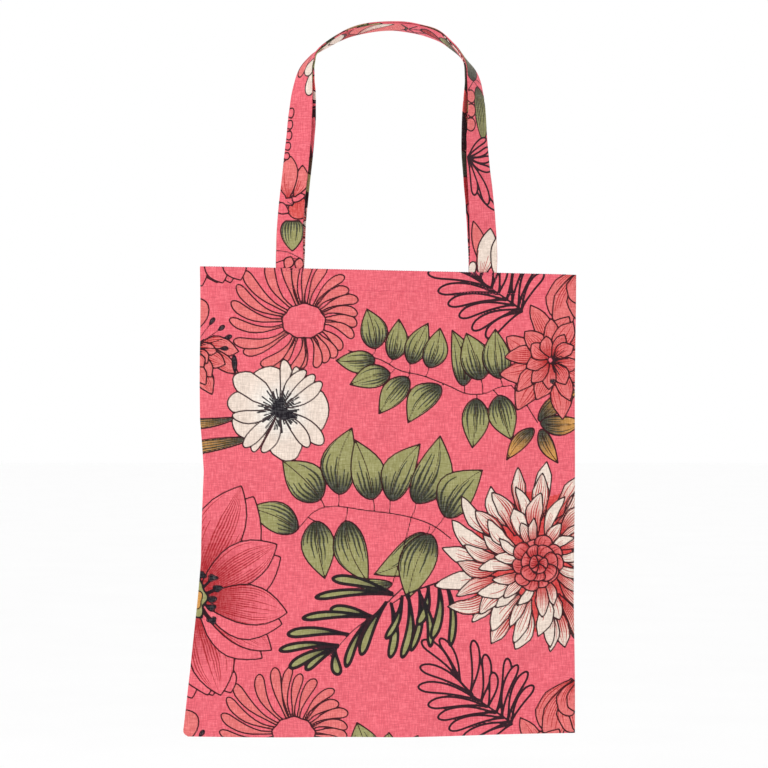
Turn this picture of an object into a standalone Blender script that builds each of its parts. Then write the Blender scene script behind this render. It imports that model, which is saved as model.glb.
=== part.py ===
"""A flat cotton tote bag that folds in three, hanging from its two strap handles.

Metres, +Z up. The front faces -Y. The origin is the point under the middle of the
handles where a hook or a hand holds them. Heights named "below" are measured from
the middle of the bag's top edge, which lies HANG_RISE under the origin.
"""
import math

import bmesh
import bpy
import numpy as np
from mathutils import Vector

# ---- driving dimensions ------------------------------------------------------------
GAP = 0.0003                # clearance between pieces that touch
BAG_DEPTH = 0.011           # front face to back face of the empty bag
CLOTH = 0.0008              # one panel
FACING = 0.0006             # the turned-in layer of the hem
HEM_DEPTH = 0.020           # top edge to hem stitching
SEAM_WIDTH = 0.008          # turned-in seam allowance along the sides and the base
THREAD = 0.0004             # sewing thread

STRAP_WIDTH = 0.028
STRAP_THICKNESS = 0.0016
STRAP_END_THICKNESS = 0.0012
STRAP_END_DEPTH = 0.018     # how far a strap goes down inside the hem
STRAP_LIFT = 0.0006         # free strap starts this far above the top edge
FOOT_PLY_GAP = 0.0076       # front strap to back strap, centre to centre, at the bag
TOP_PLY_GAP = 0.0030        # the same where the two straps lie on each other
STRAP_STATIONS = 56         # cross-sections along each strap
STRAP_STRIPS = 4            # flat strips across a strap, so that it twists smoothly

TOP_EDGE_HALF = 0.188       # half the width of the top edge
TOP_EDGE_DROP = 0.0085      # how much lower the right end of the top edge hangs
FOLD_LEVELS = (0.256, 0.3595)   # the two fold lines, below the top edge
FOLD_REACH = 0.0025         # how far a fold's axis stands off the bag's face

# Side edges as (below, x). The left side pulls in, then flares to the lower corner.
LEFT_EDGE = ((-0.006, -0.188), (0.149, -0.188), (0.200, -0.1845), (0.289, -0.187),
             (0.399, -0.1975), (0.459, -0.205))
RIGHT_EDGE = ((-0.006, 0.188), (0.149, 0.187), (0.329, 0.186), (0.462, 0.187))
# Base as (x, below), from the rounded left corner to the right corner.
BASE_EDGE = ((-0.205, 0.459), (-0.2045, 0.463), (-0.200, 0.466), (-0.100, 0.4665),
             (0.012, 0.4665), (0.187, 0.462))

# Middle line between the two straps, as (x, height over the top edge, twist).
# The twist is in degrees: 0 lies flat to the front, 90 is edge on.
STRAP_ROUTE = (
    (-0.0980, 0.000, 0.0), (-0.0975, 0.020, 12.0), (-0.0958, 0.055, 20.0),
    (-0.0878, 0.131, 26.0), (-0.0848, 0.170, 37.0), (-0.0827, 0.194, 53.0),
    (-0.0780, 0.209, 70.0), (-0.0680, 0.2215, 87.0), (-0.0350, 0.2395, 97.0),
    (0.0060, 0.2450, 98.0), (0.0440, 0.2380, 100.0), (0.0645, 0.2245, 92.0),
    (0.0775, 0.2095, 82.0), (0.0838, 0.194, 64.0), (0.0858, 0.174, 54.0),
    (0.0868, 0.121, 38.0), (0.0920, 0.064, 24.0), (0.0947, 0.020, 10.0),
    (0.0947, 0.000, 0.0),
)
HANG_RISE = 0.245 - TOP_PLY_GAP / 2 - STRAP_THICKNESS / 2

COTTON = (0.91, 0.16, 0.22)
STRAP_COTTON = (0.90, 0.15, 0.20)
THREAD_PINK = (0.80, 0.06, 0.30)


# ---- materials and solids ----------------------------------------------------------
def material(name, colour, roughness):
    found = bpy.data.materials.get(name)
    if found:
        return found
    made = bpy.data.materials.new(name)
    made.use_nodes = True
    shader = made.node_tree.nodes["Principled BSDF"]
    shader.inputs["Base Color"].default_value = (*colour, 1.0)
    shader.inputs["Roughness"].default_value = roughness
    shader.inputs["Metallic"].default_value = 0.0
    return made


def cotton():
    return material("cotton", COTTON, 0.85)


def strap_cotton():
    return material("strap_cotton", STRAP_COTTON, 0.85)


def thread():
    return material("thread", THREAD_PINK, 0.6)


def new_object(name, mesh, finish):
    made = bpy.data.objects.new(name, mesh)
    bpy.context.scene.collection.objects.link(made)
    made.data.materials.append(finish)
    return made


def solid_from(name, points, faces, finish):
    """A closed solid from its corners and faces, with the faces turned outwards."""
    mesh = bpy.data.meshes.new(name)
    body = bmesh.new()
    corners = [body.verts.new(p) for p in points]
    for face in faces:
        body.faces.new([corners[i] for i in face])
    bmesh.ops.recalc_face_normals(body, faces=body.faces)
    body.to_mesh(mesh)
    body.free()
    return new_object(name, mesh, finish)


def slab(name, outline, y_low, y_high, finish):
    """An outline of (x, below) points, extruded from y_low to y_high."""
    count = len(outline)
    points = [(x, y, level(below)) for y in (y_low, y_high) for x, below in outline]
    faces = [tuple(range(count)), tuple(range(2 * count - 1, count - 1, -1))]
    for i in range(count):
        j = (i + 1) % count
        faces.append((i, i + count, j + count, j))
    return solid_from(name, points, faces, finish)


def ring(name, outer, inner, y_low, y_high, finish):
    """A four-sided frame between two outlines of four (x, below) points."""
    points = [(x, y, level(below)) for outline in (outer, inner)
              for y in (y_low, y_high) for x, below in outline]
    faces = []
    for i in range(4):
        j = (i + 1) % 4
        faces.append((i, j, j + 8, i + 8))
        faces.append((i + 4, i + 12, j + 12, j + 4))
        faces.append((i, i + 4, j + 4, j))
        faces.append((i + 8, j + 8, j + 12, i + 12))
    return solid_from(name, points, faces, finish)


# ---- where things are --------------------------------------------------------------
def level(below):
    """World height of a point so far below the middle of the top edge."""
    return -HANG_RISE - below


def side_x(edge, below):
    """Where a side edge is, so far below the top edge."""
    depths, across = zip(*edge)
    return float(np.interp(below, depths, across))


def top_below(x):
    """How far the top edge is below its own middle, at x."""
    return x / (2 * TOP_EDGE_HALF) * TOP_EDGE_DROP


def base_below(x):
    across, depths = zip(*BASE_EDGE)
    return float(np.interp(x, across, depths))


def face_y(side):
    """The outer face of the bag: side is -1 at the front and 1 at the back."""
    return side * BAG_DEPTH / 2


def layer(side, depth, thickness):
    """The low and high y of a layer whose outer face is depth inside the bag's face."""
    outer = face_y(side) - side * depth
    inner = outer - side * thickness
    return min(outer, inner), max(outer, inner)


def smooth_route(points, count):
    """Evenly spaced stations on a Catmull-Rom curve through the points."""
    keys = np.array(points, float)
    keys = np.vstack([2 * keys[0] - keys[1], keys, 2 * keys[-1] - keys[-2]])
    fine = []
    for i in range(1, len(keys) - 2):
        for t in np.linspace(0, 1, 24, endpoint=False):
            a, b, c, d = keys[i - 1:i + 3]
            fine.append(0.5 * (2 * b + (c - a) * t + (2 * a - 5 * b + 4 * c - d) * t * t
                               + (3 * b - a - 3 * c + d) * t ** 3))
    fine.append(keys[-2])
    fine = np.array(fine)
    run = np.r_[0, np.cumsum(np.linalg.norm(np.diff(fine[:, :2], axis=0), axis=1))]
    even = np.linspace(0, run[-1], count)
    return np.array([np.interp(even, run, fine[:, k]) for k in range(fine.shape[1])]).T


# ---- the bag -----------------------------------------------------------------------
def row_limits():
    """(name, top, bottom) of the three rows between the folds, below the top edge."""
    upper, lower = FOLD_LEVELS
    return (("upper", None, upper - GAP / 2),
            ("middle", upper + GAP / 2, lower - GAP / 2),
            ("lower", lower + GAP / 2, None))


def edge_points(edge, top, bottom, inset=0.0):
    """(x, below) points down a side edge, moved inwards by inset."""
    inward = 1 if edge is LEFT_EDGE else -1
    depths = [top] + [d for d, _ in edge if top < d < bottom] + [bottom]
    return [(side_x(edge, d) + inward * inset, d) for d in depths]


def row_outline(top, bottom):
    """The cut shape of a panel between two levels; None is the bag's own edge."""
    first = top_below(-TOP_EDGE_HALF) if top is None else top
    last = top_below(TOP_EDGE_HALF) if top is None else top
    low_left = BASE_EDGE[0][1] if bottom is None else bottom
    low_right = BASE_EDGE[-1][1] if bottom is None else bottom
    left = edge_points(LEFT_EDGE, first, low_left)
    right = edge_points(RIGHT_EDGE, last, low_right)
    base = list(BASE_EDGE[1:-1]) if bottom is None else []
    return left + base + right[::-1]


def build_panels():
    for side, word in ((-1, "front"), (1, "back")):
        y_low, y_high = layer(side, 0.0, CLOTH)
        for row, top, bottom in row_limits():
            slab(f"{word}_panel_{row}", row_outline(top, bottom), y_low, y_high, cotton())


def build_side_seams():
    """The turned-in edges that join the panels, one strip down each side of each row."""
    half = BAG_DEPTH / 2 - CLOTH - GAP
    for word, edge in (("left", LEFT_EDGE), ("right", RIGHT_EDGE)):
        for row, top, bottom in row_limits():
            corner = side_x(edge, 0.0)
            first = top_below(corner) if top is None else top
            last = bottom
            if bottom is None:
                last = min(d for _, d in (BASE_EDGE[0], BASE_EDGE[-1])) - SEAM_WIDTH - GAP
            outer = edge_points(edge, first, last)
            inner = edge_points(edge, first, last, SEAM_WIDTH)
            slab(f"{word}_side_seam_{row}", outer + inner[::-1], -half, half, cotton())


def build_base_seam():
    half = BAG_DEPTH / 2 - CLOTH - GAP
    lower = list(BASE_EDGE)
    lowest = min(BASE_EDGE[0][1], BASE_EDGE[-1][1])
    upper = [(lower[-1][0], lowest - SEAM_WIDTH), (lower[0][0], lowest - SEAM_WIDTH)]
    slab("base_seam", lower + upper, -half, half, cotton())


def build_seam_threads():
    """The lines of stitching that hold the side and base seams together, inside."""
    half = THREAD
    for word, edge in (("left", LEFT_EDGE), ("right", RIGHT_EDGE)):
        for row, top, bottom in row_limits():
            first = HEM_DEPTH if top is None else top
            last = bottom
            if bottom is None:
                last = min(BASE_EDGE[0][1], BASE_EDGE[-1][1]) - SEAM_WIDTH - 2 * GAP
            outer = edge_points(edge, first, last, SEAM_WIDTH + GAP)
            inner = edge_points(edge, first, last, SEAM_WIDTH + GAP + 2 * THREAD)
            slab(f"{word}_seam_thread_{row}", outer + inner[::-1], -half, half, thread())
    lowest = min(BASE_EDGE[0][1], BASE_EDGE[-1][1]) - SEAM_WIDTH - GAP
    ends = [side_x(LEFT_EDGE, lowest) + SEAM_WIDTH + 4 * THREAD,
            side_x(RIGHT_EDGE, lowest) - SEAM_WIDTH - 4 * THREAD]
    outline = [(ends[0], lowest), (ends[1], lowest),
               (ends[1], lowest - 2 * THREAD), (ends[0], lowest - 2 * THREAD)]
    slab("base_seam_thread", outline, -half, half, thread())


def hem_line(x_left, x_right, depth_top, depth_bottom):
    """A strip that follows the top edge, between two depths under it."""
    return [(x_left, top_below(x_left) + depth_top),
            (x_left, top_below(x_left) + depth_bottom),
            (x_right, top_below(x_right) + depth_bottom),
            (x_right, top_below(x_right) + depth_top)]


def strap_feet():
    """x of the left and right strap ends."""
    return (("left", STRAP_ROUTE[0][0]), ("right", STRAP_ROUTE[-1][0]))


def build_hems():
    """The hem's inner layer, its stitching, and the strap ends that it holds."""
    inside = TOP_EDGE_HALF - SEAM_WIDTH - 3 * GAP
    strap_depth = CLOTH + GAP
    facing_depth = strap_depth + STRAP_END_THICKNESS + GAP
    for side, word in ((-1, "front"), (1, "back")):
        slab(f"{word}_hem_facing", hem_line(-inside, inside, 0.0, HEM_DEPTH),
             *layer(side, facing_depth, FACING), cotton())
        on_face = layer(side, -(GAP + THREAD), THREAD)
        slab(f"{word}_hem_stitching",
             hem_line(-inside, inside, HEM_DEPTH - 2 * THREAD, HEM_DEPTH),
             *on_face, thread())
        for which, x in strap_feet():
            half = STRAP_WIDTH / 2
            slab(f"{word}_{which}_strap_end",
                 hem_line(x - half, x + half, GAP, STRAP_END_DEPTH),
                 *layer(side, strap_depth, STRAP_END_THICKNESS), strap_cotton())
            outer = hem_line(x - half, x + half, 0.002, STRAP_END_DEPTH - 0.001)
            inner = hem_line(x - half + 2 * THREAD, x + half - 2 * THREAD,
                             0.002 + 2 * THREAD, STRAP_END_DEPTH - 0.001 - 2 * THREAD)
            ring(f"{word}_{which}_box_stitch", outer, inner, *on_face, thread())


# ---- the handles -------------------------------------------------------------------
def strap_frames(side):
    """(centre, across, outward) of a strap at each station; outward leaves the other strap."""
    route = smooth_route(STRAP_ROUTE, STRAP_STATIONS)
    heading = np.gradient(route[:, :2], axis=0)
    heading /= np.linalg.norm(heading, axis=1)[:, None]
    rise = np.clip(route[:, 1] / max(route[:, 1]), 0, 1)
    gap = FOOT_PLY_GAP + (TOP_PLY_GAP - FOOT_PLY_GAP) * rise ** 3
    frames = []
    for (x, height, twist), (along_x, along_z), apart in zip(route, heading, gap):
        inward = Vector((along_z, 0, -along_x))
        front = Vector((0, -1, 0))
        turn = math.radians(twist)
        across = inward * math.cos(turn) + front * math.sin(turn)
        outward = (front * math.cos(turn) - inward * math.sin(turn)) * -side
        centre = Vector((x, 0, level(-height))) + outward * apart / 2
        frames.append((centre, across, outward))
    return frames


def strap_section(centre, across, outward):
    """The corners of a strap's cross-section, in order round it."""
    through = outward * STRAP_THICKNESS / 2
    shares = [i / STRAP_STRIPS - 0.5 for i in range(STRAP_STRIPS + 1)]
    places = [across * STRAP_WIDTH * share for share in shares]
    return ([centre + place - through for place in places]
            + [centre + place + through for place in reversed(places)])


def build_handles():
    for side, word in ((-1, "front"), (1, "back")):
        sections = [strap_section(*frame) for frame in strap_frames(side)]
        for end in (0, -1):
            for corner in sections[end]:
                corner.z = level(top_below(corner.x)) + STRAP_LIFT
        size = len(sections[0])
        last = size * (len(sections) - 1)
        faces = [tuple(range(size - 1, -1, -1)), tuple(range(last, last + size))]
        for i in range(len(sections) - 1):
            for k in range(size):
                a, b = size * i + k, size * i + (k + 1) % size
                faces.append((a, b, b + size, a + size))
        points = [tuple(corner) for section in sections for corner in section]
        piece = solid_from(f"{word}_handle", points, faces, strap_cotton())
        move_origin(piece, Vector((0, face_y(side), level(0))))


def move_origin(piece, place):
    """Puts a piece's origin at a place on its joint's axis; the shape stays where it is."""
    piece.data.transform(piece.matrix_world.Translation(-place))
    piece.location = place


def fold_origins():
    """Gives the pieces below each fold their origin on that fold's axis."""
    for row, below, side in (("middle", FOLD_LEVELS[0], -1), ("lower", FOLD_LEVELS[1], 1)):
        axis = Vector((0, face_y(side) + side * FOLD_REACH, level(below)))
        names = ["base_seam", "base_seam_thread"] if row == "lower" else []
        names += [o.name for o in bpy.data.objects if o.name.endswith("_" + row)]
        for name in names:
            move_origin(bpy.data.objects[name], axis)


def main():
    for old in list(bpy.data.objects):
        bpy.data.objects.remove(old, do_unlink=True)
    build_panels()
    build_side_seams()
    build_base_seam()
    build_seam_threads()
    build_hems()
    build_handles()
    fold_origins()


main()
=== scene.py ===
"""Looks of a flat cotton tote bag, printed with flowers, that hangs from its handles.

Lengths are millimetres, except in CAD_BOX and where a name ends in _M. A place on the
bag is (across, below): across from its centre line and below the middle of its top
edge. Depth is how far a point stands out from the middle plane of the bag, to the
front or to the back.
"""
import math

import bpy
import numpy as np
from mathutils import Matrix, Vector


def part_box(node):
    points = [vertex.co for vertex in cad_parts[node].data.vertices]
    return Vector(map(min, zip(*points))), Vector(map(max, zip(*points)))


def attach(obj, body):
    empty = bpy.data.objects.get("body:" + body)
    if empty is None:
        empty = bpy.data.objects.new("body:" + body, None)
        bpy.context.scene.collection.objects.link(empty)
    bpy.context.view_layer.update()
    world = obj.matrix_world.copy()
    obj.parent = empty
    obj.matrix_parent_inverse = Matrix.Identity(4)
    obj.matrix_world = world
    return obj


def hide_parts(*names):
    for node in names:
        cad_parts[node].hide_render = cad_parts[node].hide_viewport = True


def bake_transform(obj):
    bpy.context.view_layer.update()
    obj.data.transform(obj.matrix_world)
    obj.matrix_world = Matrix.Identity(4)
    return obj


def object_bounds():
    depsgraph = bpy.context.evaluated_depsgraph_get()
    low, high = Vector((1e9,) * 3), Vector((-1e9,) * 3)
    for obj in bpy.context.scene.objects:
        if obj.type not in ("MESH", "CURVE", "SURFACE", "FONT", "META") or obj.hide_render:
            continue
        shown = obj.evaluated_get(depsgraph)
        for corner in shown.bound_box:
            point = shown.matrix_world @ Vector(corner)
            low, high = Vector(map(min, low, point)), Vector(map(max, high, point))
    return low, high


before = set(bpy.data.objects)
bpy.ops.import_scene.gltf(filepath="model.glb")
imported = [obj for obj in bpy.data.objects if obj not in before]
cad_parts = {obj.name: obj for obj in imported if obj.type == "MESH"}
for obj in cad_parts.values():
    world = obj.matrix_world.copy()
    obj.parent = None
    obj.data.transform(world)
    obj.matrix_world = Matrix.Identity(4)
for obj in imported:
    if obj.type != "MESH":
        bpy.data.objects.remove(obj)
CAD_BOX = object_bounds()       # in metres

FRONT, BACK = -1, 1
WORDS = {FRONT: "front", BACK: "back"}

# ---- cloth sizes -------------------------------------------------------------------
CELL = 1.12                 # mesh spacing of the front panel
BACK_CELL = 1.35            # and of the back panel
SEAM_DEPTH = 0.2            # half of the gap where front and back meet in a seam
BODY_DEPTH = 3.7            # the bag's body, away from the seams
HEM_DEPTH = 4.35            # the hem's outer face
FOOT_BUMP = 0.75            # how much more it stands out over a strap's end
EDGE_ROLL = 0.45            # radius of the folded top edge
HEM_TALL = 20.0             # top edge to hem stitching
SEAM_WIDE = 8.0             # seam allowance inside the bag
SEAM_START = 0.7            # where the allowance leaves the seam
HEM_INSET = SEAM_WIDE + 1   # where the facing and the hem's stitches end, at each side
FACING_CELL = 2.0
SPLIT_BELOW = 308.0         # the panels are two pieces each, which meet here

STRAP_WIDE = 28.0
STRAP_THICK = 1.5
FACE_END = STRAP_WIDE / 2 + 0.6     # place round a strap where its outer face ends
STRAP_CELL = 1.05
FOOT_APART = 7.6            # front strap to back strap at the bag
TOP_APART = 1.7             # and where they lie on each other
STRAP_IN_HEM = 17.0         # how far a strap reaches down inside the hem
STRAP_CREASES = (119.0, 151.0, 430.0)   # where a strap was folded, along its run
# Middle line between the straps: across, height over the top edge, twist in degrees.
STRAP_ROUTE = (
    (-98.0, 0.0, 0.0), (-97.5, 20.0, 12.0), (-95.8, 55.0, 20.0), (-87.8, 131.0, 26.0),
    (-84.8, 170.0, 37.0), (-82.7, 194.0, 53.0), (-78.0, 209.0, 70.0), (-68.0, 221.5, 87.0),
    (-35.0, 239.5, 97.0), (6.0, 245.0, 98.0), (44.0, 238.0, 100.0), (64.5, 224.5, 92.0),
    (77.5, 209.5, 82.0), (83.8, 194.0, 64.0), (85.8, 174.0, 54.0), (86.8, 121.0, 38.0),
    (92.0, 64.0, 24.0), (94.7, 20.0, 10.0), (94.7, 0.0, 0.0),
)

# ---- dyes --------------------------------------------------------------------------


def dye(red, green, blue):
    """A dye from its screen colour, as linear light."""
    values = np.array((red, green, blue)) / 255.0
    return np.where(values < 0.04045, values / 12.92, ((values + 0.055) / 1.055) ** 2.4)


PINK = dye(229, 97, 111)
LIGHT_PINK = dye(230, 100, 113)
CORAL = dye(223, 109, 108)
DEEP_CORAL = dye(212, 78, 74)
RED = dye(178, 22, 26)
HEART_RED = dye(206, 58, 56)
CREAM = dye(228, 210, 196)
WHITE = dye(240, 238, 232)
OLIVE = dye(150, 147, 93)
DARK_OLIVE = dye(52, 54, 38)
OCHRE = dye(204, 146, 72)
BROWN = dye(74, 50, 30)
DEEP_RED = dye(168, 26, 34)
MAROON = dye(42, 2, 12)
INK = dye(16, 8, 20)
THREAD_PINK = dye(232, 84, 118)
THREAD_MAGENTA = dye(196, 30, 120)

FAR = 30.0                  # an ink distance with no ink in sight
THIN = 0.68                 # half the width of a fine line, and of a brush line
THICK = 1.0
INK_MARGIN = 2.5            # how far past a shape its outline may reach
LINE_MARGIN = 3.0           # and past a line's own points
STREAK_SPREAD = 31          # from one shape's streak numbers to the next shape's
STREAK_ROUND = 200          # shapes after which the numbers start again
PETAL_STEPS = 13
REPEAT = (-10.0, 412.0)     # how the print repeats down the cloth
SIDE_REPEAT = 462.0         # and across it


# ---- the printed cloth -------------------------------------------------------------
class Print:
    """The dyes on a grid of cloth points, painted one motif over another.

    across runs along the grid's rows and down along its columns. ink is the distance
    to the nearest line, and tone how black it is. streak counts the streaks across a
    petal, and reach is how far along them a place is.
    """

    def __init__(self, across, down):
        self.across = across
        self.down = down
        self.shift = np.zeros(2)
        self.shape = across.shape
        self.fill = np.tile(PINK, (*self.shape, 1))
        self.ink = np.full(self.shape, FAR)
        self.tone = np.zeros(self.shape)
        self.streak = np.zeros(self.shape)
        self.reach = np.full(self.shape, FAR)
        self.streak_dye = np.tile(RED, (*self.shape, 1))
        self.painted = 0
        self.row_span = down.min(axis=1), down.max(axis=1)
        self.column_span = across.min(axis=0), across.max(axis=0)

    def window(self, low, high):
        """The part of the grid inside a box, and its points, or None."""
        low = low + self.shift
        high = high + self.shift
        rows = np.flatnonzero((self.row_span[1] >= low[1]) & (self.row_span[0] <= high[1]))
        columns = np.flatnonzero((self.column_span[1] >= low[0])
                                 & (self.column_span[0] <= high[0]))
        if not len(rows) or not len(columns):
            return None
        part = np.s_[rows[0]:rows[-1] + 1, columns[0]:columns[-1] + 1]
        return part, self.across[part] - self.shift[0], self.down[part] - self.shift[1]

    def add_ink(self, part, distance, tone):
        """Inks a line whose edge is at distance 0, where no other line is nearer."""
        closer = distance < self.ink[part]
        self.ink[part] = np.where(closer, distance, self.ink[part])
        self.tone[part] = np.where(closer, tone, self.tone[part])

    def area(self, outline, colour, line=THIN, tone=0.0, streaks=None):
        """Paints a closed shape. colour is a dye or, as streaks is, a function of places."""
        found = self.window(outline.min(axis=0) - INK_MARGIN, outline.max(axis=0) + INK_MARGIN)
        if found is None:
            return
        part, x, y = found
        distance = signed_distance(x, y, outline)
        inside = distance < 0
        self.painted += 1
        dyes = colour(x, y) if callable(colour) else colour
        self.fill[part] = np.where(inside[..., None], dyes, self.fill[part])
        self.ink[part] = np.where(inside, FAR, self.ink[part])
        self.reach[part] = np.where(inside, FAR, self.reach[part])
        if streaks is not None:
            number, reach, streak_dye = streaks(x, y)
            number = number + STREAK_SPREAD * (self.painted % STREAK_ROUND)
            self.streak[part] = np.where(inside, number, self.streak[part])
            self.reach[part] = np.where(inside, reach, self.reach[part])
            self.streak_dye[part] = np.where(inside[..., None], streak_dye,
                                             self.streak_dye[part])
        if line:
            self.add_ink(part, np.abs(distance) - line, tone)

    def line(self, points, width=THIN, tone=0.0, end_width=None):
        """Draws a line of ink through the points, which may taper."""
        points = np.asarray(points, float)
        found = self.window(points.min(axis=0) - LINE_MARGIN, points.max(axis=0) + LINE_MARGIN)
        if found is None:
            return
        part, x, y = found
        distance, run = line_distance(x, y, points)
        end_width = width if end_width is None else end_width
        self.add_ink(part, distance - (width + (end_width - width) * run), tone)


def from_segments(x, y, start, step):
    """From each segment to each place: the way there, where along it, the distance squared."""
    away = np.stack([x, y], axis=-1)[..., None, :] - start
    share = np.clip((away * step).sum(-1) / np.maximum((step * step).sum(-1), 1e-9), 0, 1)
    gap = away - share[..., None] * step
    return away, share, (gap * gap).sum(-1)


def signed_distance(x, y, outline):
    """Distance to a closed outline, below zero inside it."""
    step = np.roll(outline, -1, axis=0) - outline
    away, _, squared = from_segments(x, y, outline, step)
    above = away[..., 1] >= 0
    end_above = (away[..., 1] - step[:, 1]) >= 0
    turn = step[:, 0] * away[..., 1] - step[:, 1] * away[..., 0]
    crossing = (above & ~end_above & (turn < 0)) | (~above & end_above & (turn > 0))
    inside = crossing.sum(-1) % 2 == 1
    distance = np.sqrt(squared.min(-1))
    return np.where(inside, -distance, distance)


def line_distance(x, y, points):
    """Distance to an open line, and how far along it the nearest place is, 0 to 1."""
    start, step = points[:-1], points[1:] - points[:-1]
    _, share, squared = from_segments(x, y, start, step)
    best = squared.argmin(-1)
    picked = np.take_along_axis(share, best[..., None], -1)[..., 0]
    return np.sqrt(squared.min(-1)), (best + picked) / len(start)


def curve(*points, count=24):
    """A smooth line through the points."""
    keys = np.array(points, float)
    keys = np.vstack([2 * keys[0] - keys[1], keys, 2 * keys[-1] - keys[-2]])
    run = np.linspace(0, len(points) - 1 - 1e-9, count)
    first = run.astype(int)
    t = (run - first)[:, None]
    a, b, c, d = (keys[first + k] for k in range(4))
    return 0.5 * (2 * b + (c - a) * t + (2 * a - 5 * b + 4 * c - d) * t * t
                  + (3 * b - a - 3 * c + d) * t ** 3)


def smooth(value):
    """0 below 0 and 1 above 1, with a soft step between."""
    value = np.clip(value, 0, 1)
    return value * value * (3 - 2 * value)


# Petal shapes: where they are widest, how sharp the base and the tip are, and the
# share of their width that is left at the base.
CLUB = (0.86, 2.0, 0.5, 0.26)
POINTED = (0.58, 0.8, 0.85, 0.22)
LEAF = (0.40, 0.55, 1.0, 0.0)
BLADE = (0.80, 1.3, 0.5, 0.10)
ROUND = (0.66, 0.8, 0.45, 0.22)
DROP = (0.62, 0.9, 0.5, 0.0)


def half_width(shape, t):
    """A petal's half width at t of its length, where 1 is the widest."""
    widest, base, tip, least = shape
    t = np.clip(t, 0, 1)
    rising = np.sin(np.pi / 2 * np.clip(t / widest, 0, 1)) ** base
    falling = np.cos(np.pi / 2 * np.clip((t - widest) / (1 - widest), 0, 1)) ** tip
    return np.where(t < widest, np.maximum(rising, least), falling)


def petal(cloth, base, tip, width, shape=POINTED, bend=0.0, colour=CORAL, base_colour=None,
          fade=0.8, streaks=0, reach=0.5, streak_dye=RED, line=THIN, tone=0.0, ruffle=0.0,
          phase=0.0):
    """A petal or a leaf from its base to its tip.

    bend is its bow, as a share of its length, and ruffle how much its edge waves. Its
    dye goes from base_colour to colour within fade, and its streaks end within reach.
    """
    base = np.asarray(base, float)
    heading = np.asarray(tip, float) - base
    length = float(np.hypot(*heading))
    ahead = heading / length
    left = np.array((-ahead[1], ahead[0]))
    t = (1 - np.cos(np.pi * np.arange(PETAL_STEPS + 1) / PETAL_STEPS)) / 2
    half = width / 2 * half_width(shape, t)
    wave = 1 + ruffle * np.sin(t * 17 + phase) * t
    middle = bend * length * np.sin(np.pi * t)
    sides = [base + ahead * (t * length)[:, None] + left * (middle + way * half * wave)[:, None]
             for way in (1, -1)]
    outline = np.vstack([sides[0], sides[1][-2:0:-1]])

    def local(x, y):
        along = ((x - base[0]) * ahead[0] + (y - base[1]) * ahead[1]) / length
        side = (x - base[0]) * left[0] + (y - base[1]) * left[1]
        side = side - bend * length * np.sin(np.pi * np.clip(along, 0, 1))
        return along, side

    def shaded(x, y):
        along, _ = local(x, y)
        blend = smooth(along / fade)[..., None]
        return base_colour * (1 - blend) + colour * blend

    def streaked(x, y):
        along, side = local(x, y)
        half_here = width / 2 * np.maximum(half_width(shape, along), 0.25)
        return (side / half_here + 1) / 2 * streaks, np.maximum(along, 0) / reach, streak_dye

    cloth.area(outline, colour if base_colour is None else shaded, line, tone,
               streaked if streaks else None)


def at_angle(centre, angle, distance):
    """The place at a distance from a centre; angles turn from the right, clockwise."""
    return (centre[0] + distance * math.cos(angle), centre[1] + distance * math.sin(angle))


def blob(centre, wide, tall, waves=7, wave=0.05, seed=0):
    """A rounded outline with a few soft lobes."""
    turn = np.linspace(0, 2 * np.pi, 36, endpoint=False)
    swell = 1 + wave * np.sin(waves * turn + seed) + wave * 0.6 * np.sin(3 * turn + 2 * seed)
    return np.stack([centre[0] + wide * swell * np.cos(turn),
                     centre[1] + tall * swell * np.sin(turn)], axis=1)


def daisy(cloth, centre, petals, seed):
    """A daisy drawn in outline: club petals, longest on the left, round a plain lobed centre."""
    chance = np.random.default_rng(seed)
    for i in range(petals):
        angle = 2 * np.pi * (i + chance.uniform(-0.25, 0.25)) / petals
        radius = 61 - 11 * math.cos(angle) - 8 * math.sin(angle) + 5 * math.cos(2 * angle)
        radius *= chance.uniform(0.93, 1.05)
        tip = at_angle(centre, angle + 0.10, radius)
        petal(cloth, at_angle(centre, angle, 12), tip, chance.uniform(8.5, 11.5), CLUB,
              bend=chance.uniform(-0.15, -0.05), colour=CORAL)
    cloth.area(blob(centre, 21.5, 17.0, 9, 0.035, seed), LIGHT_PINK)


# Each petal's direction in degrees, clockwise from the right, its length and its width.
ANEMONE_PETALS = (
    (0, 49, 44), (158, 50, 38), (243, 45, 40), (188, 53, 24), (216, 57, 24), (78, 52, 32),
    (275, 50, 13), (38, 55, 17), (52, 47, 13), (292, 46, 12), (303, 47, 12), (315, 49, 12),
    (327, 50, 13), (112, 46, 12), (123, 50, 12), (134, 52, 13), (172, 48, 13),
)


def anemone(cloth, centre):
    """A pale flower with broad and narrow ruffled petals, and a black eye with stamens."""
    for i, (degrees, reach, wide) in enumerate(ANEMONE_PETALS):
        angle = math.radians(degrees)
        bend = 0.10 * math.sin(2.3 * i) if wide < 20 else 0.04
        petal(cloth, at_angle(centre, angle, 3), at_angle(centre, angle, reach), wide, ROUND,
              bend=bend, colour=CREAM, base_colour=WHITE, fade=0.7,
              ruffle=0.09 if wide > 20 else 0.02, phase=1.7 * i)
    stamens = 40
    for i in range(stamens):
        angle = 2 * np.pi * (i + 0.3 * math.sin(5.1 * i)) / stamens
        far = at_angle(centre, angle, 19 + 4 * math.sin(3.7 * i))
        cloth.line([at_angle(centre, angle, 7), far], 0.35, 1.0, 0.75)
    for degrees, away, wide, tall in ((250, 3, 6.5, 9.5), (35, 11, 8.0, 4.0), (90, 2, 9.0, 5.0)):
        spot = at_angle(centre, math.radians(degrees), away)
        cloth.area(blob(spot, wide, tall, 7, 0.13, degrees), INK, 0.5, 1.0)


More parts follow.
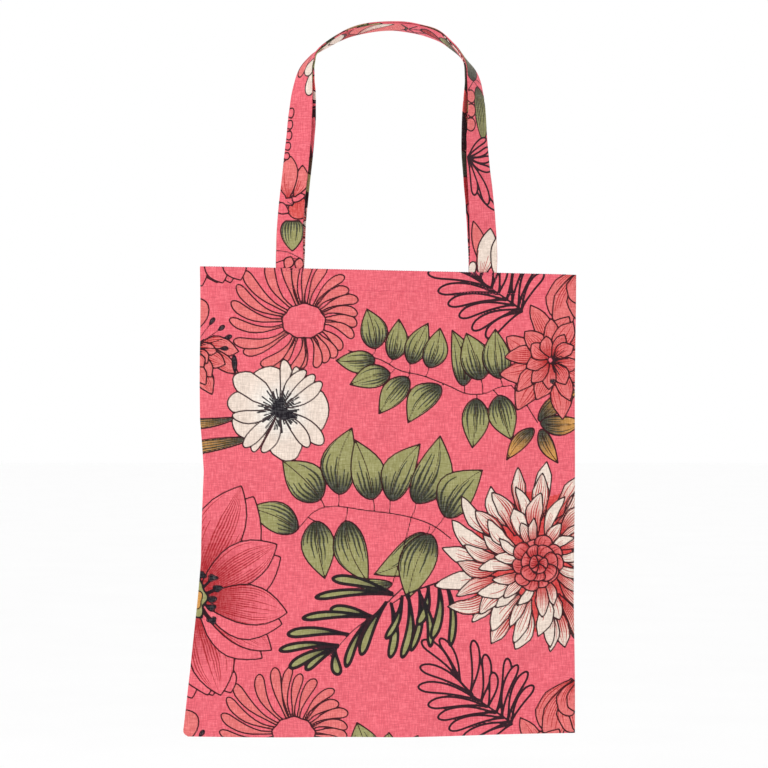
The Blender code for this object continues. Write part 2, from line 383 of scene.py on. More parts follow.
def dahlia(cloth, centre, rings, seed):
    """Rings of slender pale petals, many of them red towards the base, round a red heart."""
    chance = np.random.default_rng(seed)
    cloth.area(blob(centre, 70, 70, 12, 0.06, seed), HEART_RED, line=0.0)
    for ring, (outer, inner, wide, count) in enumerate(rings):
        for i in range(count):
            angle = 2 * np.pi * (i + 0.5 * ring + chance.uniform(-0.25, 0.25)) / count
            reach = outer * chance.uniform(0.84, 1.05)
            red = chance.uniform() < 0.55
            petal(cloth, at_angle(centre, angle - 0.10, inner), at_angle(centre, angle, reach),
                  wide * chance.uniform(0.68, 1.12), POINTED, bend=chance.uniform(-0.16, 0.16),
                  colour=CREAM, base_colour=HEART_RED if red else CREAM,
                  fade=chance.uniform(0.5, 1.0), streaks=7, reach=1.2 if red else 0.6,
                  streak_dye=RED, ruffle=0.11, phase=chance.uniform(0, 6))
    for outer, inner, count in ((27, 9, 10), (18, 3, 7), (9, 0, 5)):
        for i in range(count):
            angle = 2 * np.pi * (i + outer + chance.uniform(-0.3, 0.3)) / count
            petal(cloth, at_angle(centre, angle, inner),
                  at_angle(centre, angle, outer * chance.uniform(0.85, 1.15)),
                  2.0 * outer * math.sin(math.pi / count) * chance.uniform(0.9, 1.3), ROUND,
                  bend=chance.uniform(-0.12, 0.12), colour=CORAL, base_colour=RED, fade=1.2,
                  streaks=6, reach=0.9, streak_dye=RED * 0.7)


def coral_flower(cloth, centre, radius, angles, seed):
    """A coral flower with pointed petals in three rings and a few dark stamens."""
    chance = np.random.default_rng(seed)
    step = angles[1] - angles[0]
    for share, wide, turn in ((1.0, 0.36, 0.0), (0.78, 0.32, 0.5), (0.5, 0.25, 0.15)):
        for i, angle in enumerate(angles):
            angle = angle + turn * step + chance.uniform(-0.14, 0.14)
            reach = radius * share * chance.uniform(0.82, 1.06)
            petal(cloth, at_angle(centre, angle, 3), at_angle(centre, angle, reach),
                  radius * wide * chance.uniform(0.85, 1.2), POINTED,
                  bend=chance.uniform(-0.10, 0.10), colour=CORAL, base_colour=DEEP_CORAL,
                  fade=0.7, streaks=9, reach=0.95, streak_dye=RED, ruffle=0.08, phase=i)
    for i in range(9):
        angle = -0.9 + 0.28 * i
        cloth.line([at_angle(centre, angle, 2), at_angle(centre, angle, 12 + 5 * (i % 2))],
                   0.5, 1.0)
    cloth.area(blob(at_angle(centre, 1.5, 21), 2.6, 2.2, 5, 0.1, 1), INK, 0.4, 1.0)


def lily(cloth, centre, petals, seed):
    """Broad pink petals with turned edges and fine red veins, round a dark eye."""
    chance = np.random.default_rng(seed)
    for angle, length, wide in petals:
        base = at_angle(centre, angle, 8)
        petal(cloth, base, at_angle(centre, angle + 0.13, length * 0.97), wide * 1.05, POINTED,
              bend=0.06, colour=LIGHT_PINK)
        petal(cloth, base, at_angle(centre, angle, length), wide, POINTED, bend=-0.03,
              colour=LIGHT_PINK, base_colour=DEEP_RED, fade=0.75, streaks=17, reach=0.95,
              streak_dye=DEEP_RED, ruffle=0.02)
    for i in range(7):
        angle = -1.2 + 0.4 * i
        far = at_angle(centre, angle, chance.uniform(17, 31))
        cloth.line([centre, far], 1.3, 1.0)
        cloth.area(blob(far, 4.6, 3.2, 3, 0.16, i), INK, 0.5, 1.0)
    cloth.area(blob(centre, 15, 18, 6, 0.12, 2), OLIVE, 0.9, 1.0)
    cloth.area(blob(centre, 10, 12, 5, 0.12, 4), OCHRE, 0.6, 1.0)


def leaf(cloth, base, tip, width, bend=0.04, colour=OLIVE, shade=DARK_OLIVE, stalk=None,
         fade=0.44):
    """A leaf that is dark at its base, from where dark strokes run towards its tip."""
    if stalk is not None:
        cloth.line(curve(base, (np.array(base) + stalk) / 2 + 0.6, stalk, count=6), 0.5)
    petal(cloth, base, tip, width, LEAF, bend, colour=colour, base_colour=shade, fade=fade,
          streaks=8, reach=0.66, streak_dye=shade * 0.6)
    base = np.array(base, float)
    ahead = np.array(tip, float) - base
    left = np.array((-ahead[1], ahead[0]))
    run = np.linspace(0.10, 0.98, 9)[:, None]
    cloth.line(base + ahead * run + left * bend * np.sin(np.pi * run), 0.45)


def leaf_branch(cloth, stem, leaves):
    """A thin stem with leaves: each one's base, its tip, its width and its bow."""
    cloth.line(stem, 0.55)
    for base, tip, width, bend in leaves:
        nearest = stem[np.hypot(*(stem - np.array(base)).T).argmin()]
        leaf(cloth, base, tip, width, bend, stalk=nearest)


def leaflets(cloth, places, width, bend, line, colour=OLIVE, base_colour=INK):
    """Slender leaflets in thick ink, from the base to the tip of each; every other is narrow."""
    for i, (base, tip) in enumerate(places):
        bow = bend * (1 if base[0] > tip[0] - 12 else -1)
        petal(cloth, base, tip, width * (1 - 0.2 * (i % 2)), BLADE, bend=bow, colour=colour,
              base_colour=base_colour, fade=0.75, line=line, tone=1.0)


# ---- where the motifs are on the cloth ---------------------------------------------
# A leaf is its base, its tip, its width and its bow; a leaflet is its base and its tip.
UPPER_BRANCH = curve((-40, 79), (-8, 88), (12, 99), (34, 104), (60, 114), (78, 122),
                     (96, 122), (110, 116), (123, 114))
UPPER_LEAVES = (
    ((-12, 77), (-21, 38), 27, 0.05), ((-13, 89), (-52, 89), 22, -0.04),
    ((5, 88), (11, 48), 22, 0.04), ((2, 102), (-38, 113), 23, 0.05),
    ((22, 92), (40, 52), 22, -0.03), ((20, 106), (-9, 142), 24, 0.04),
    ((41, 96), (52, 57), 24, 0.05), ((52, 114), (20, 151), 27, 0.12),
    ((76, 114), (64, 59), 24, 0.09), ((93, 108), (78, 62), 31, 0.03),
    ((112, 107), (107, 58), 28, -0.04), ((88, 127), (84, 176), 27, -0.02),
    ((110, 124), (123, 168), 28, 0.04),
)
MIDDLE_BRANCH = curve((-90, 257), (-73, 239), (-53, 234), (-23, 238), (2, 241), (26, 246),
                      (46, 254), (62, 266))
MIDDLE_LEAVES = (
    ((-67, 227), (-105, 189), 38, 0.04), ((-49, 222), (-36, 156), 35, -0.10),
    ((-15, 227), (-33, 168), 34, 0.05), ((2, 228), (32, 172), 32, -0.10),
    ((28, 231), (52, 164), 38, 0.10), ((56, 244), (94, 198), 38, -0.12),
    ((-90, 257), (-140, 236), 30, 0.06), ((-72, 249), (-63, 306), 33, 0.03),
    ((-43, 249), (-20, 310), 33, 0.08), ((38, 262), (-14, 302), 31, -0.12),
    ((42, 262), (19, 327), 36, 0.05), ((4, 312), (-38, 305), 13, -0.10),
)
FROND_A = curve((132, 38), (118, 28), (98, 14), (82, -2), (68, -20))
FROND_A_LEAFLETS = (
    ((78, -8), (44, -44)), ((82, -2), (62, -46)), ((94, 10), (42, -18)),
    ((92, 8), (95, -44)), ((102, 17), (40, 2)), ((103, 18), (107, -30)),
    ((110, 23), (50, 20)), ((110, 23), (115, -12)), ((118, 29), (60, 33)),
    ((118, 29), (129, -26)), ((126, 34), (71, 45)), ((124, 32), (139, -19)),
    ((131, 38), (84, 58)), ((130, 36), (149, -12)), ((134, 40), (98, 66)),
    ((133, 39), (155, 2)),
)
FROND_B = curve((14, 316), (-14, 342), (-36, 359), (-58, 384))
FROND_B_LEAFLETS = (
    ((4, 321), (-55, 306)), ((4, 322), (-72, 325)), ((-16, 344), (-57, 337)),
    ((-16, 345), (-85, 346)), ((-40, 362), (-100, 362)), ((-50, 373), (-108, 378)),
    ((-50, 374), (-98, 395)), ((-52, 376), (-82, 397)), ((-53, 377), (-50, 402)),
    ((-20, 347), (-42, 394)), ((-2, 330), (-27, 382)),
)
FROND_C = curve((60, 307), (44, 312), (20, 321), (4, 331))
FROND_C_LEAFLETS = (
    ((3, 331), (2, 385)), ((14, 324), (-2, 366)), ((20, 322), (14, 385)), ((31, 318), (23, 378)),
    ((40, 314), (30, 352)), ((32, 322), (42, 374)), ((50, 310), (44, 366)),
    ((57, 309), (62, 373)),
)


def fabric(cloth):
    """One repeat of the printed fabric, from the back of the drawing to its front."""
    daisy(cloth, (-84, 50), 25, 3)
    for angle, length, wide in ((2.15, 66, 26), (1.95, 74, 26), (1.7, 60, 24), (1.4, 66, 24),
                                (1.1, 58, 24), (1.85, 44, 22), (1.5, 40, 22)):
        petal(cloth, at_angle((200, -10), angle, 8), at_angle((200, -10), angle, length), wide,
              ROUND, bend=0.08, colour=CORAL, base_colour=DEEP_CORAL, fade=0.4, streaks=11,
              reach=0.8, streak_dye=RED, ruffle=0.10, phase=9 * angle)
    leaflets(cloth, FROND_A_LEAFLETS, 11.0, 0.07, THICK, PINK, None)
    cloth.line(FROND_A, 0.9, 1.0, 0.6)
    cloth.line(curve((123, 114), (136, 130), (149, 151)), 0.5)
    for base, tip, width, bend in (
            ((150, 149), (192, 119), 17, -0.06), ((152, 152), (196, 150), 20, 0.08),
            ((145, 157), (118, 188), 15, 0.05), ((152, 158), (170, 192), 15, 0.05)):
        leaf(cloth, base, tip, width, bend, OCHRE, DARK_OLIVE, fade=0.85)
    for base, tip, width, bend in (
            ((-150, 146), (-215, 152), 10, -0.05), ((-132, 166), (-214, 181), 13, 0.0)):
        petal(cloth, base, tip, width, ROUND, bend, colour=OCHRE, base_colour=DARK_OLIVE,
              fade=0.9, streaks=5, reach=1.3, streak_dye=DARK_OLIVE * 0.6)
    leaf_branch(cloth, UPPER_BRANCH, UPPER_LEAVES)
    coral_flower(cloth, (163, 89), 57, np.arange(9) * 0.7 + 0.1, 5)
    coral_flower(cloth, (-198, 78), 52, np.arange(4) * 0.42 + 0.15, 11)
    for angle, length in ((-0.95, 34), (-0.62, 36), (-0.32, 38), (-0.02, 32)):
        far = at_angle((-196, 78), angle, length)
        cloth.line([(-196, 78), far], 0.5)
        petal(cloth, at_angle(far, angle, -4), at_angle(far, angle, 4), 3.6, DROP, colour=INK,
              tone=1.0)
    petal(cloth, (-153, 102), (-154, 84), 4.5, DROP, colour=INK, tone=1.0)
    for tip_place in ((-186, 15), (-165, 12), (-147, 9)):
        petal(cloth, (tip_place[0] - 14, -24), tip_place, 24, POINTED, colour=LIGHT_PINK)
    petal(cloth, (-212, 30), (-184, 52), 36, ROUND, colour=CORAL)
    leaf_branch(cloth, MIDDLE_BRANCH, MIDDLE_LEAVES)
    anemone(cloth, (-108, 138))
    cloth.line(FROND_B, 0.7, 1.0, 0.5)
    leaflets(cloth, FROND_B_LEAFLETS, 8.5, 0.05, 1.5)
    cloth.line(FROND_C, 0.9, 1.0, 0.6)
    leaflets(cloth, FROND_C_LEAFLETS, 7.5, -0.08, 1.35)
    lily(cloth, (-196, 328), ((-1.16, 124, 50), (1.28, 100, 46), (-0.58, 102, 42),
                              (0.56, 94, 34), (0.13, 96, 40)), 7)
    dahlia(cloth, (150, 292), ((103, 46, 17, 21), (88, 36, 16, 19), (71, 26, 15, 16),
                               (52, 16, 12, 14)), 9)


def print_fabric(cloth, start):
    """Prints the repeating fabric on a cloth, whose own zero lies at start on the fabric."""
    for column in (-1, 1, 0):
        for row in (1, -1, 0):
            cloth.shift = (np.array((column * SIDE_REPEAT, 0.0)) + row * np.array(REPEAT)
                           - np.array(start, float))
            fabric(cloth)
    cloth.shift = np.zeros(2)


# ---- the bag's outline, from the CAD panels ----------------------------------------
def corners_of(*nodes):
    """The corners of CAD nodes, in millimetres."""
    points = [tuple(v.co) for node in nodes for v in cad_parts[node].data.vertices]
    return 1000 * np.array(points)


PANEL = corners_of("front_panel_upper", "front_panel_middle", "front_panel_lower")
CAD_FACE = -PANEL[:, 1].min()
HALF_WAY = PANEL[:, 0].max() * 0.8


def top_corner(points):
    return points[points[:, 2].argmax()]


TOP_LEFT = top_corner(PANEL[PANEL[:, 0] < -HALF_WAY])
TOP_RIGHT = top_corner(PANEL[PANEL[:, 0] > HALF_WAY])
SLOPE = (TOP_LEFT[2] - TOP_RIGHT[2]) / (TOP_RIGHT[0] - TOP_LEFT[0])
TOP_LEVEL = TOP_LEFT[2] + TOP_LEFT[0] * SLOPE
LOW_CORNER = PANEL[PANEL[:, 0].argmin()]


def rail(points, key, value):
    """Points sorted for np.interp, as key and value columns."""
    order = np.argsort(points[:, key])
    return points[order, key], points[order, value]


BELOW = np.column_stack([PANEL[:, 0], TOP_LEVEL - PANEL[:, 2]])
CORNER_BELOW = TOP_LEVEL - LOW_CORNER[2]
LEFT_RAIL = rail(BELOW[(BELOW[:, 0] < -HALF_WAY) & (BELOW[:, 1] <= CORNER_BELOW + 0.1)], 1, 0)
RIGHT_RAIL = rail(BELOW[BELOW[:, 0] > HALF_WAY], 1, 0)
BASE_RAIL = rail(BELOW[BELOW[:, 1] >= CORNER_BELOW - 0.1], 0, 1)


def left_edge(below):
    return np.interp(below, *LEFT_RAIL) + 0.35 * np.sin(below / 23.0)


def right_edge(below):
    return np.interp(below, *RIGHT_RAIL) + 0.30 * np.sin(below / 31.0 + 1)


def top_edge(across):
    return across * SLOPE


def base_edge(across):
    return np.interp(across, *BASE_RAIL) - 0.25 + 0.25 * np.sin(across / 27.0)


def bag_place(s, t):
    """(across, below) at a share s of the width and t of the height."""
    below = t * CORNER_BELOW
    for _ in range(4):
        across = left_edge(below) + s * (right_edge(below) - left_edge(below))
        below = top_edge(across) + t * (base_edge(across) - top_edge(across))
    return across, below


def seam_rise(distance):
    """How quickly the cloth leaves a seam, 0 at the seam and 1 far from it."""
    near = np.clip(distance / 2.6, 0, 1)
    return 0.42 * np.sqrt(1 - (1 - near) ** 2) + 0.58 * (1 - np.exp(-np.maximum(distance, 0) / 22))


FEET = (STRAP_ROUTE[0][0], STRAP_ROUTE[-1][0])


def over_foot(across):
    """1 over a strap's end and 0 away from it."""
    bump = 0
    for foot in FEET:
        bump = bump + smooth(1.9 - np.abs(across - foot) / (STRAP_WIDE / 2 + 2))
    return np.clip(bump, 0, 1)


def side_distance(across, below):
    return np.minimum(across - left_edge(below), right_edge(below) - across)


def plain_depth(across, below):
    """The bag's depth before it wrinkles."""
    side = seam_rise(side_distance(across, below))
    base = seam_rise(base_edge(across) - below)
    body = BODY_DEPTH * side * base
    hem = (HEM_DEPTH + FOOT_BUMP * over_foot(across)) * side
    under_top = np.maximum(below - top_edge(across), 0)
    near_top = 1 - smooth((under_top - HEM_TALL * 0.8) / 30)
    return SEAM_DEPTH + body + (hem - body) * near_top


# ---- wrinkles ----------------------------------------------------------------------
SIM_COLUMNS, SIM_ROWS, SIM_FRAMES = 46, 56, 36
SETTLE_LIMIT = 1.5          # the furthest that the simulation may move a point
HELD_BELOW_TOP = 13.0       # the stiff hem, which the simulation holds still
CLOTH_SETTINGS = {
    "quality": 7, "mass": 0.02, "tension_stiffness": 18, "compression_stiffness": 18,
    "shear_stiffness": 6, "bending_stiffness": 0.35, "tension_damping": 12,
    "compression_damping": 12, "shear_damping": 8, "air_damping": 4, "shrink_min": -0.006,
}


def cubic_weights(places, count):
    """Rows of weights that read a smooth curve through count even samples."""
    weights = np.zeros((len(places), count))
    run = np.clip(places, 0, 1) * (count - 1)
    first = np.minimum(run.astype(int), count - 2)
    t = run - first
    shares = (-0.5 * t + t * t - 0.5 * t ** 3, 1 - 2.5 * t * t + 1.5 * t ** 3,
              0.5 * t + 2 * t * t - 1.5 * t ** 3, -0.5 * t * t + 0.5 * t ** 3)
    rows = np.arange(len(places))
    for k, share in enumerate(shares):
        np.add.at(weights, (rows, np.clip(first + k - 1, 0, count - 1)), share)
    return weights


def first_ripple(s, t, seed):
    """The faint waves that start the cloth's own wrinkles."""
    chance = np.random.default_rng(seed)
    ripple = np.zeros_like(s)
    for _ in range(9):
        angle = chance.normal(0, 0.55)
        waves = chance.uniform(2.0, 6.5)
        along = (t * math.cos(angle) + s * math.sin(angle)) * waves
        ripple += chance.uniform(0.4, 1.0) * np.sin(2 * np.pi * (along + chance.uniform()))
    return ripple / 4


def hang_cloth(side, seed):
    """Lets a slightly loose panel settle between its seams; returns how it moved."""
    t, s = np.meshgrid(np.linspace(0, 1, SIM_ROWS), np.linspace(0, 1, SIM_COLUMNS),
                       indexing="ij")
    across, below = bag_place(s, t)
    plain = np.stack([across, side * plain_depth(across, below), -below], axis=-1)
    inner = np.clip(4 * s * (1 - s) * 3, 0, 1) * np.clip(4 * t * (1 - t) * 3, 0, 1)
    start = plain.copy()
    start[..., 1] += side * 0.9 * inner * first_ripple(s, t, seed)
    mesh = bpy.data.meshes.new("settling")
    mesh.from_pydata((start / 1000).reshape(-1, 3).tolist(), [],
                     grid_faces(SIM_ROWS, SIM_COLUMNS))
    cloth = bpy.data.objects.new("settling", mesh)
    bpy.context.scene.collection.objects.link(cloth)
    held = cloth.vertex_groups.new(name="held")
    rim = (s < 0.001) | (s > 0.999) | (t > 0.999)
    rim |= below - top_edge(across) < HELD_BELOW_TOP
    held.add(np.flatnonzero(rim.ravel()).tolist(), 1.0, "REPLACE")
    modifier = cloth.modifiers.new("Cloth", "CLOTH")
    modifier.settings.vertex_group_mass = "held"
    for key, value in CLOTH_SETTINGS.items():
        setattr(modifier.settings, key, value)
    modifier.collision_settings.use_collision = False
    modifier.point_cache.frame_start = 1
    modifier.point_cache.frame_end = SIM_FRAMES
    scene = bpy.context.scene
    for number in range(1, SIM_FRAMES + 1):
        scene.frame_set(number)
    settled = cloth.evaluated_get(bpy.context.evaluated_depsgraph_get())
    points = np.zeros(SIM_ROWS * SIM_COLUMNS * 3, np.float32)
    settled.data.vertices.foreach_get("co", points)
    points = 1000 * points.reshape(SIM_ROWS, SIM_COLUMNS, 3).astype(float)
    bpy.data.objects.remove(cloth, do_unlink=True)
    bpy.data.meshes.remove(mesh)
    scene.frame_set(1)
    return SETTLE_LIMIT * np.tanh((points - plain) / SETTLE_LIMIT)


# Each pressed crease: how far below the mouth, its height and where its waves start.
PRESS_LINES = ((76.0, 0.16, 1.3), (152.0, 0.10, 4.0), (256.0, 0.22, 0.4), (305.0, 0.14, 2.2),
               (325.0, 0.10, 5.0), (359.5, 0.20, 3.1))


def press_creases(across, below):
    """Faint level creases left from when the bag was folded."""
    depth = np.zeros_like(below)
    for level, height, phase in PRESS_LINES:
        place = below - level - 0.8 * np.sin(across / 70 + phase)
        strength = height * (0.6 + 0.4 * np.sin(across / 38 + 2 * phase))
        ridge = np.exp(-(place / 1.1) ** 2)
        valley = 0.8 * np.exp(-((place - 2.6) / 1.6) ** 2)
        depth += strength * (ridge - valley)
    return depth


def seam_pucker(across, below):
    """Small gathers along the seams and the hem."""
    near_side = np.exp(-np.maximum(side_distance(across, below) - 2, 0) / 5)
    near_base = np.exp(-np.maximum(base_edge(across) - below - 2, 0) / 5)
    near_hem = np.exp(-((below - top_edge(across) - HEM_TALL) / 4.5) ** 2)
    along_side = np.sin(below / 1.9 + 2 * np.sin(below / 17)) * near_side
    along_base = np.sin(across / 2.1 + 2 * np.sin(across / 19)) * near_base
    along_hem = np.sin(across / 2.3 + 1.5 * np.sin(across / 13)) * near_hem
    return 0.10 * along_side + 0.09 * along_base + 0.07 * along_hem


def hem_step(across, below):
    """The doubled hem stands a little proud of the single cloth, with a stitched groove."""
    top = below - top_edge(across)
    return (0.22 * (1 - smooth((top - HEM_TALL - 0.5) / 2.2))
            - 0.16 * np.exp(-((top - HEM_TALL) / 0.7) ** 2))


class Panel:
    """One side of the bag: its grid of points, in millimetres, before it is cut in pieces."""

    def __init__(self, side, cell, seed):
        self.side = side
        wide = TOP_RIGHT[0] - TOP_LEFT[0]
        self.rows = int(round(CORNER_BELOW / cell)) + 1
        self.columns = int(round(wide / cell)) + 1
        t, s = np.meshgrid(np.linspace(0, 1, self.rows), np.linspace(0, 1, self.columns),
                           indexing="ij")
        self.across, self.below = bag_place(s, t)
        move = hang_cloth(side, seed)
        down = cubic_weights(np.linspace(0, 1, self.rows), SIM_ROWS)
        right = cubic_weights(np.linspace(0, 1, self.columns), SIM_COLUMNS)
        move = np.einsum("ra,abk,cb->rck", down, move, right)
        flat = plain_depth(self.across, self.below)
        free = np.clip(side_distance(self.across, self.below) / 12, 0, 1)
        free = free * np.clip((base_edge(self.across) - self.below) / 12, 0, 1)
        self.depth = (flat + side * move[..., 1] + free * press_creases(self.across, self.below)
                      + np.minimum(flat, 1) * seam_pucker(self.across, self.below)
                      + np.minimum(flat, 1) * hem_step(self.across, self.below))
        self.depth = np.clip(self.depth, SEAM_DEPTH * 0.5, CAD_FACE + 1.0)
        self.points = np.stack([self.across + move[..., 0], side * self.depth,
                                TOP_LEVEL - self.below + move[..., 2]], axis=-1)

    def surface(self, across, below):
        """Points on the panel's outer face."""
        across, below = np.broadcast_arrays(np.asarray(across, float), np.asarray(below, float))
        left, right = left_edge(below), right_edge(below)
        top, base = top_edge(across), base_edge(across)
        column = np.clip((across - left) / (right - left), 0, 1) * (self.columns - 1)
        row = np.clip((below - top) / (base - top), 0, 1) * (self.rows - 1)
        r = np.minimum(row.astype(int), self.rows - 2)
        c = np.minimum(column.astype(int), self.columns - 2)
        u, v = (column - c)[..., None], (row - r)[..., None]
        return ((1 - v) * ((1 - u) * self.points[r, c] + u * self.points[r, c + 1])
                + v * ((1 - u) * self.points[r + 1, c] + u * self.points[r + 1, c + 1]))


# ---- meshes ------------------------------------------------------------------------
def grid_faces(rows, columns, flip=False, around=False):
    """Quads of a grid whose rows run down and whose columns run right, facing the front."""
    r, c = np.meshgrid(np.arange(rows - 1), np.arange(columns if around else columns - 1),
                       indexing="ij")
    r, c = r.ravel(), c.ravel()
    after = (c + 1) % columns
    quads = np.stack([r * columns + c, (r + 1) * columns + c, (r + 1) * columns + after,
                      r * columns + after], axis=1)
    return (quads[:, ::-1] if flip else quads).tolist()


def end_faces(rows, columns):
    """The two faces that close a tube whose rings are a grid's rows."""
    last = rows * columns - 1
    return [list(range(columns)), list(range(last, last - columns, -1))]


def add_piece(name, points, faces, finish):
    """A mesh object from points in millimetres."""
    mesh = bpy.data.meshes.new(name)
    mesh.from_pydata((np.asarray(points, float) / 1000).reshape(-1, 3).tolist(), [], faces)
    mesh.shade_smooth()
    mesh.materials.append(finish)
    made = bpy.data.objects.new(name, mesh)
    bpy.context.scene.collection.objects.link(made)
    return made


def store(piece, name, kind, values):
    """Keeps a value for each point of a mesh, for its material to read."""
    found = piece.data.attributes.new(name, kind, "POINT")
    key = {"FLOAT_COLOR": "color", "FLOAT_VECTOR": "vector", "FLOAT": "value"}[kind]
    found.data.foreach_set(key, np.asarray(values, np.float32).ravel())


def store_print(piece, cloth, part=np.s_[:]):
    """Keeps part of a painted print, and where each point lies on the cloth."""
    def columns(*fields):
        return np.column_stack([field[part].ravel() for field in fields])

    fill, streak_dye = (field[part].reshape(-1, 3) for field in (cloth.fill, cloth.streak_dye))
    store(piece, "print_fill", "FLOAT_COLOR", np.column_stack([fill, cloth.tone[part].ravel()]))
    store(piece, "print_streak", "FLOAT_COLOR",
          np.column_stack([streak_dye, np.ones(len(streak_dye))]))
    store(piece, "print_lines", "FLOAT_VECTOR", columns(cloth.ink, cloth.streak, cloth.reach))
    store(piece, "cloth_place", "FLOAT_VECTOR",
          columns(cloth.across, cloth.down, np.zeros(cloth.shape)))


# ---- materials ---------------------------------------------------------------------
class Finish:
    """A material's nodes, added one at a time."""

    def __init__(self, name, roughness, sheen, sheen_tint):
        self.material = bpy.data.materials.new(name)
        self.material.use_nodes = True
        self.tree = self.material.node_tree
        self.shader = self.tree.nodes["Principled BSDF"]
        self.shader.inputs["Roughness"].default_value = roughness
        self.shader.inputs["Sheen Weight"].default_value = sheen
        self.shader.inputs["Sheen Roughness"].default_value = 0.45
        self.shader.inputs["Sheen Tint"].default_value = (*sheen_tint, 1)
        self.shader.inputs["Specular IOR Level"].default_value = 0.25

    def put(self, socket, value):
        """Links or sets an input."""
        if isinstance(value, bpy.types.NodeSocket):
            self.tree.links.new(value, socket)
        elif value is not None:
            socket.default_value = value

    def node(self, kind, **settings):
        made = self.tree.nodes.new(kind)
        for key, value in settings.items():
            setattr(made, key, value)
        return made

    def attribute(self, name):
        return self.node("ShaderNodeAttribute", attribute_name=name)

    def math(self, operation, first, second=None, third=None, clamp=False):
        made = self.node("ShaderNodeMath", operation=operation, use_clamp=clamp)
        for socket, value in zip(made.inputs, (first, second, third)):
            self.put(socket, value)
        return made.outputs[0]

    def scaled(self, vector, scale):
        made = self.node("ShaderNodeVectorMath", operation="MULTIPLY")
        self.put(made.inputs[0], vector)
        made.inputs[1].default_value = scale
        return made.outputs[0]

    def noise(self, vector, scale, detail=2.0, roughness=0.5):
        made = self.node("ShaderNodeTexNoise")
        self.put(made.inputs["Vector"], vector)
        made.inputs["Scale"].default_value = scale
        made.inputs["Detail"].default_value = detail
        made.inputs["Roughness"].default_value = roughness
        return made.outputs["Fac"]

    def ramp(self, value, low, high, to_low=0.0, to_high=1.0):
        made = self.node("ShaderNodeMapRange", interpolation_type="SMOOTHSTEP")
        for key, number in (("Value", value), ("From Min", low), ("From Max", high),
                            ("To Min", to_low), ("To Max", to_high)):
            self.put(made.inputs[key], number)
        return made.outputs[0]

    def mix(self, share, first, second, kind="MIX"):
        made = self.node("ShaderNodeMix", data_type="RGBA", blend_type=kind)
        self.put(made.inputs[0], share)
        self.put(made.inputs[6], first)
        self.put(made.inputs[7], second)
        return made.outputs[2]

    def grey(self, value):
        made = self.node("ShaderNodeCombineColor")
        for socket in made.inputs:
            self.put(socket, value)
        return made.outputs[0]

    def bump(self, height, distance, strength=1.0):
        made = self.node("ShaderNodeBump")
        made.inputs["Strength"].default_value = strength
        made.inputs["Distance"].default_value = distance
        self.put(made.inputs["Height"], height)
        self.put(self.shader.inputs["Normal"], made.outputs["Normal"])


WEAVE_REPEAT = 0.62         # across one thread that lies over and one that lies under


def weave(finish, place):
    """(light and dark of the threads, relief) of a plain slubby weave at a cloth place."""
    along, crosswise = 0.10, 0.85
    weft = finish.noise(finish.scaled(place, (along, crosswise, 1)), 1.0, 3.0, 0.66)
    warp = finish.noise(finish.scaled(place, (crosswise, along, 1)), 1.0, 3.0, 0.66)
    split = finish.node("ShaderNodeSeparateXYZ")
    finish.put(split.inputs[0], place)
    turns = 2 * math.pi / WEAVE_REPEAT
    over = finish.math("SINE", finish.math("MULTIPLY", split.outputs[0], turns))
    under = finish.math("SINE", finish.math("MULTIPLY", split.outputs[1], turns))
    threads = finish.math("MULTIPLY", over, under)
    slubs = finish.math("ADD", weft, warp)
    relief = finish.math("ADD", finish.math("MULTIPLY", threads, 0.22), slubs)
    return slubs, relief


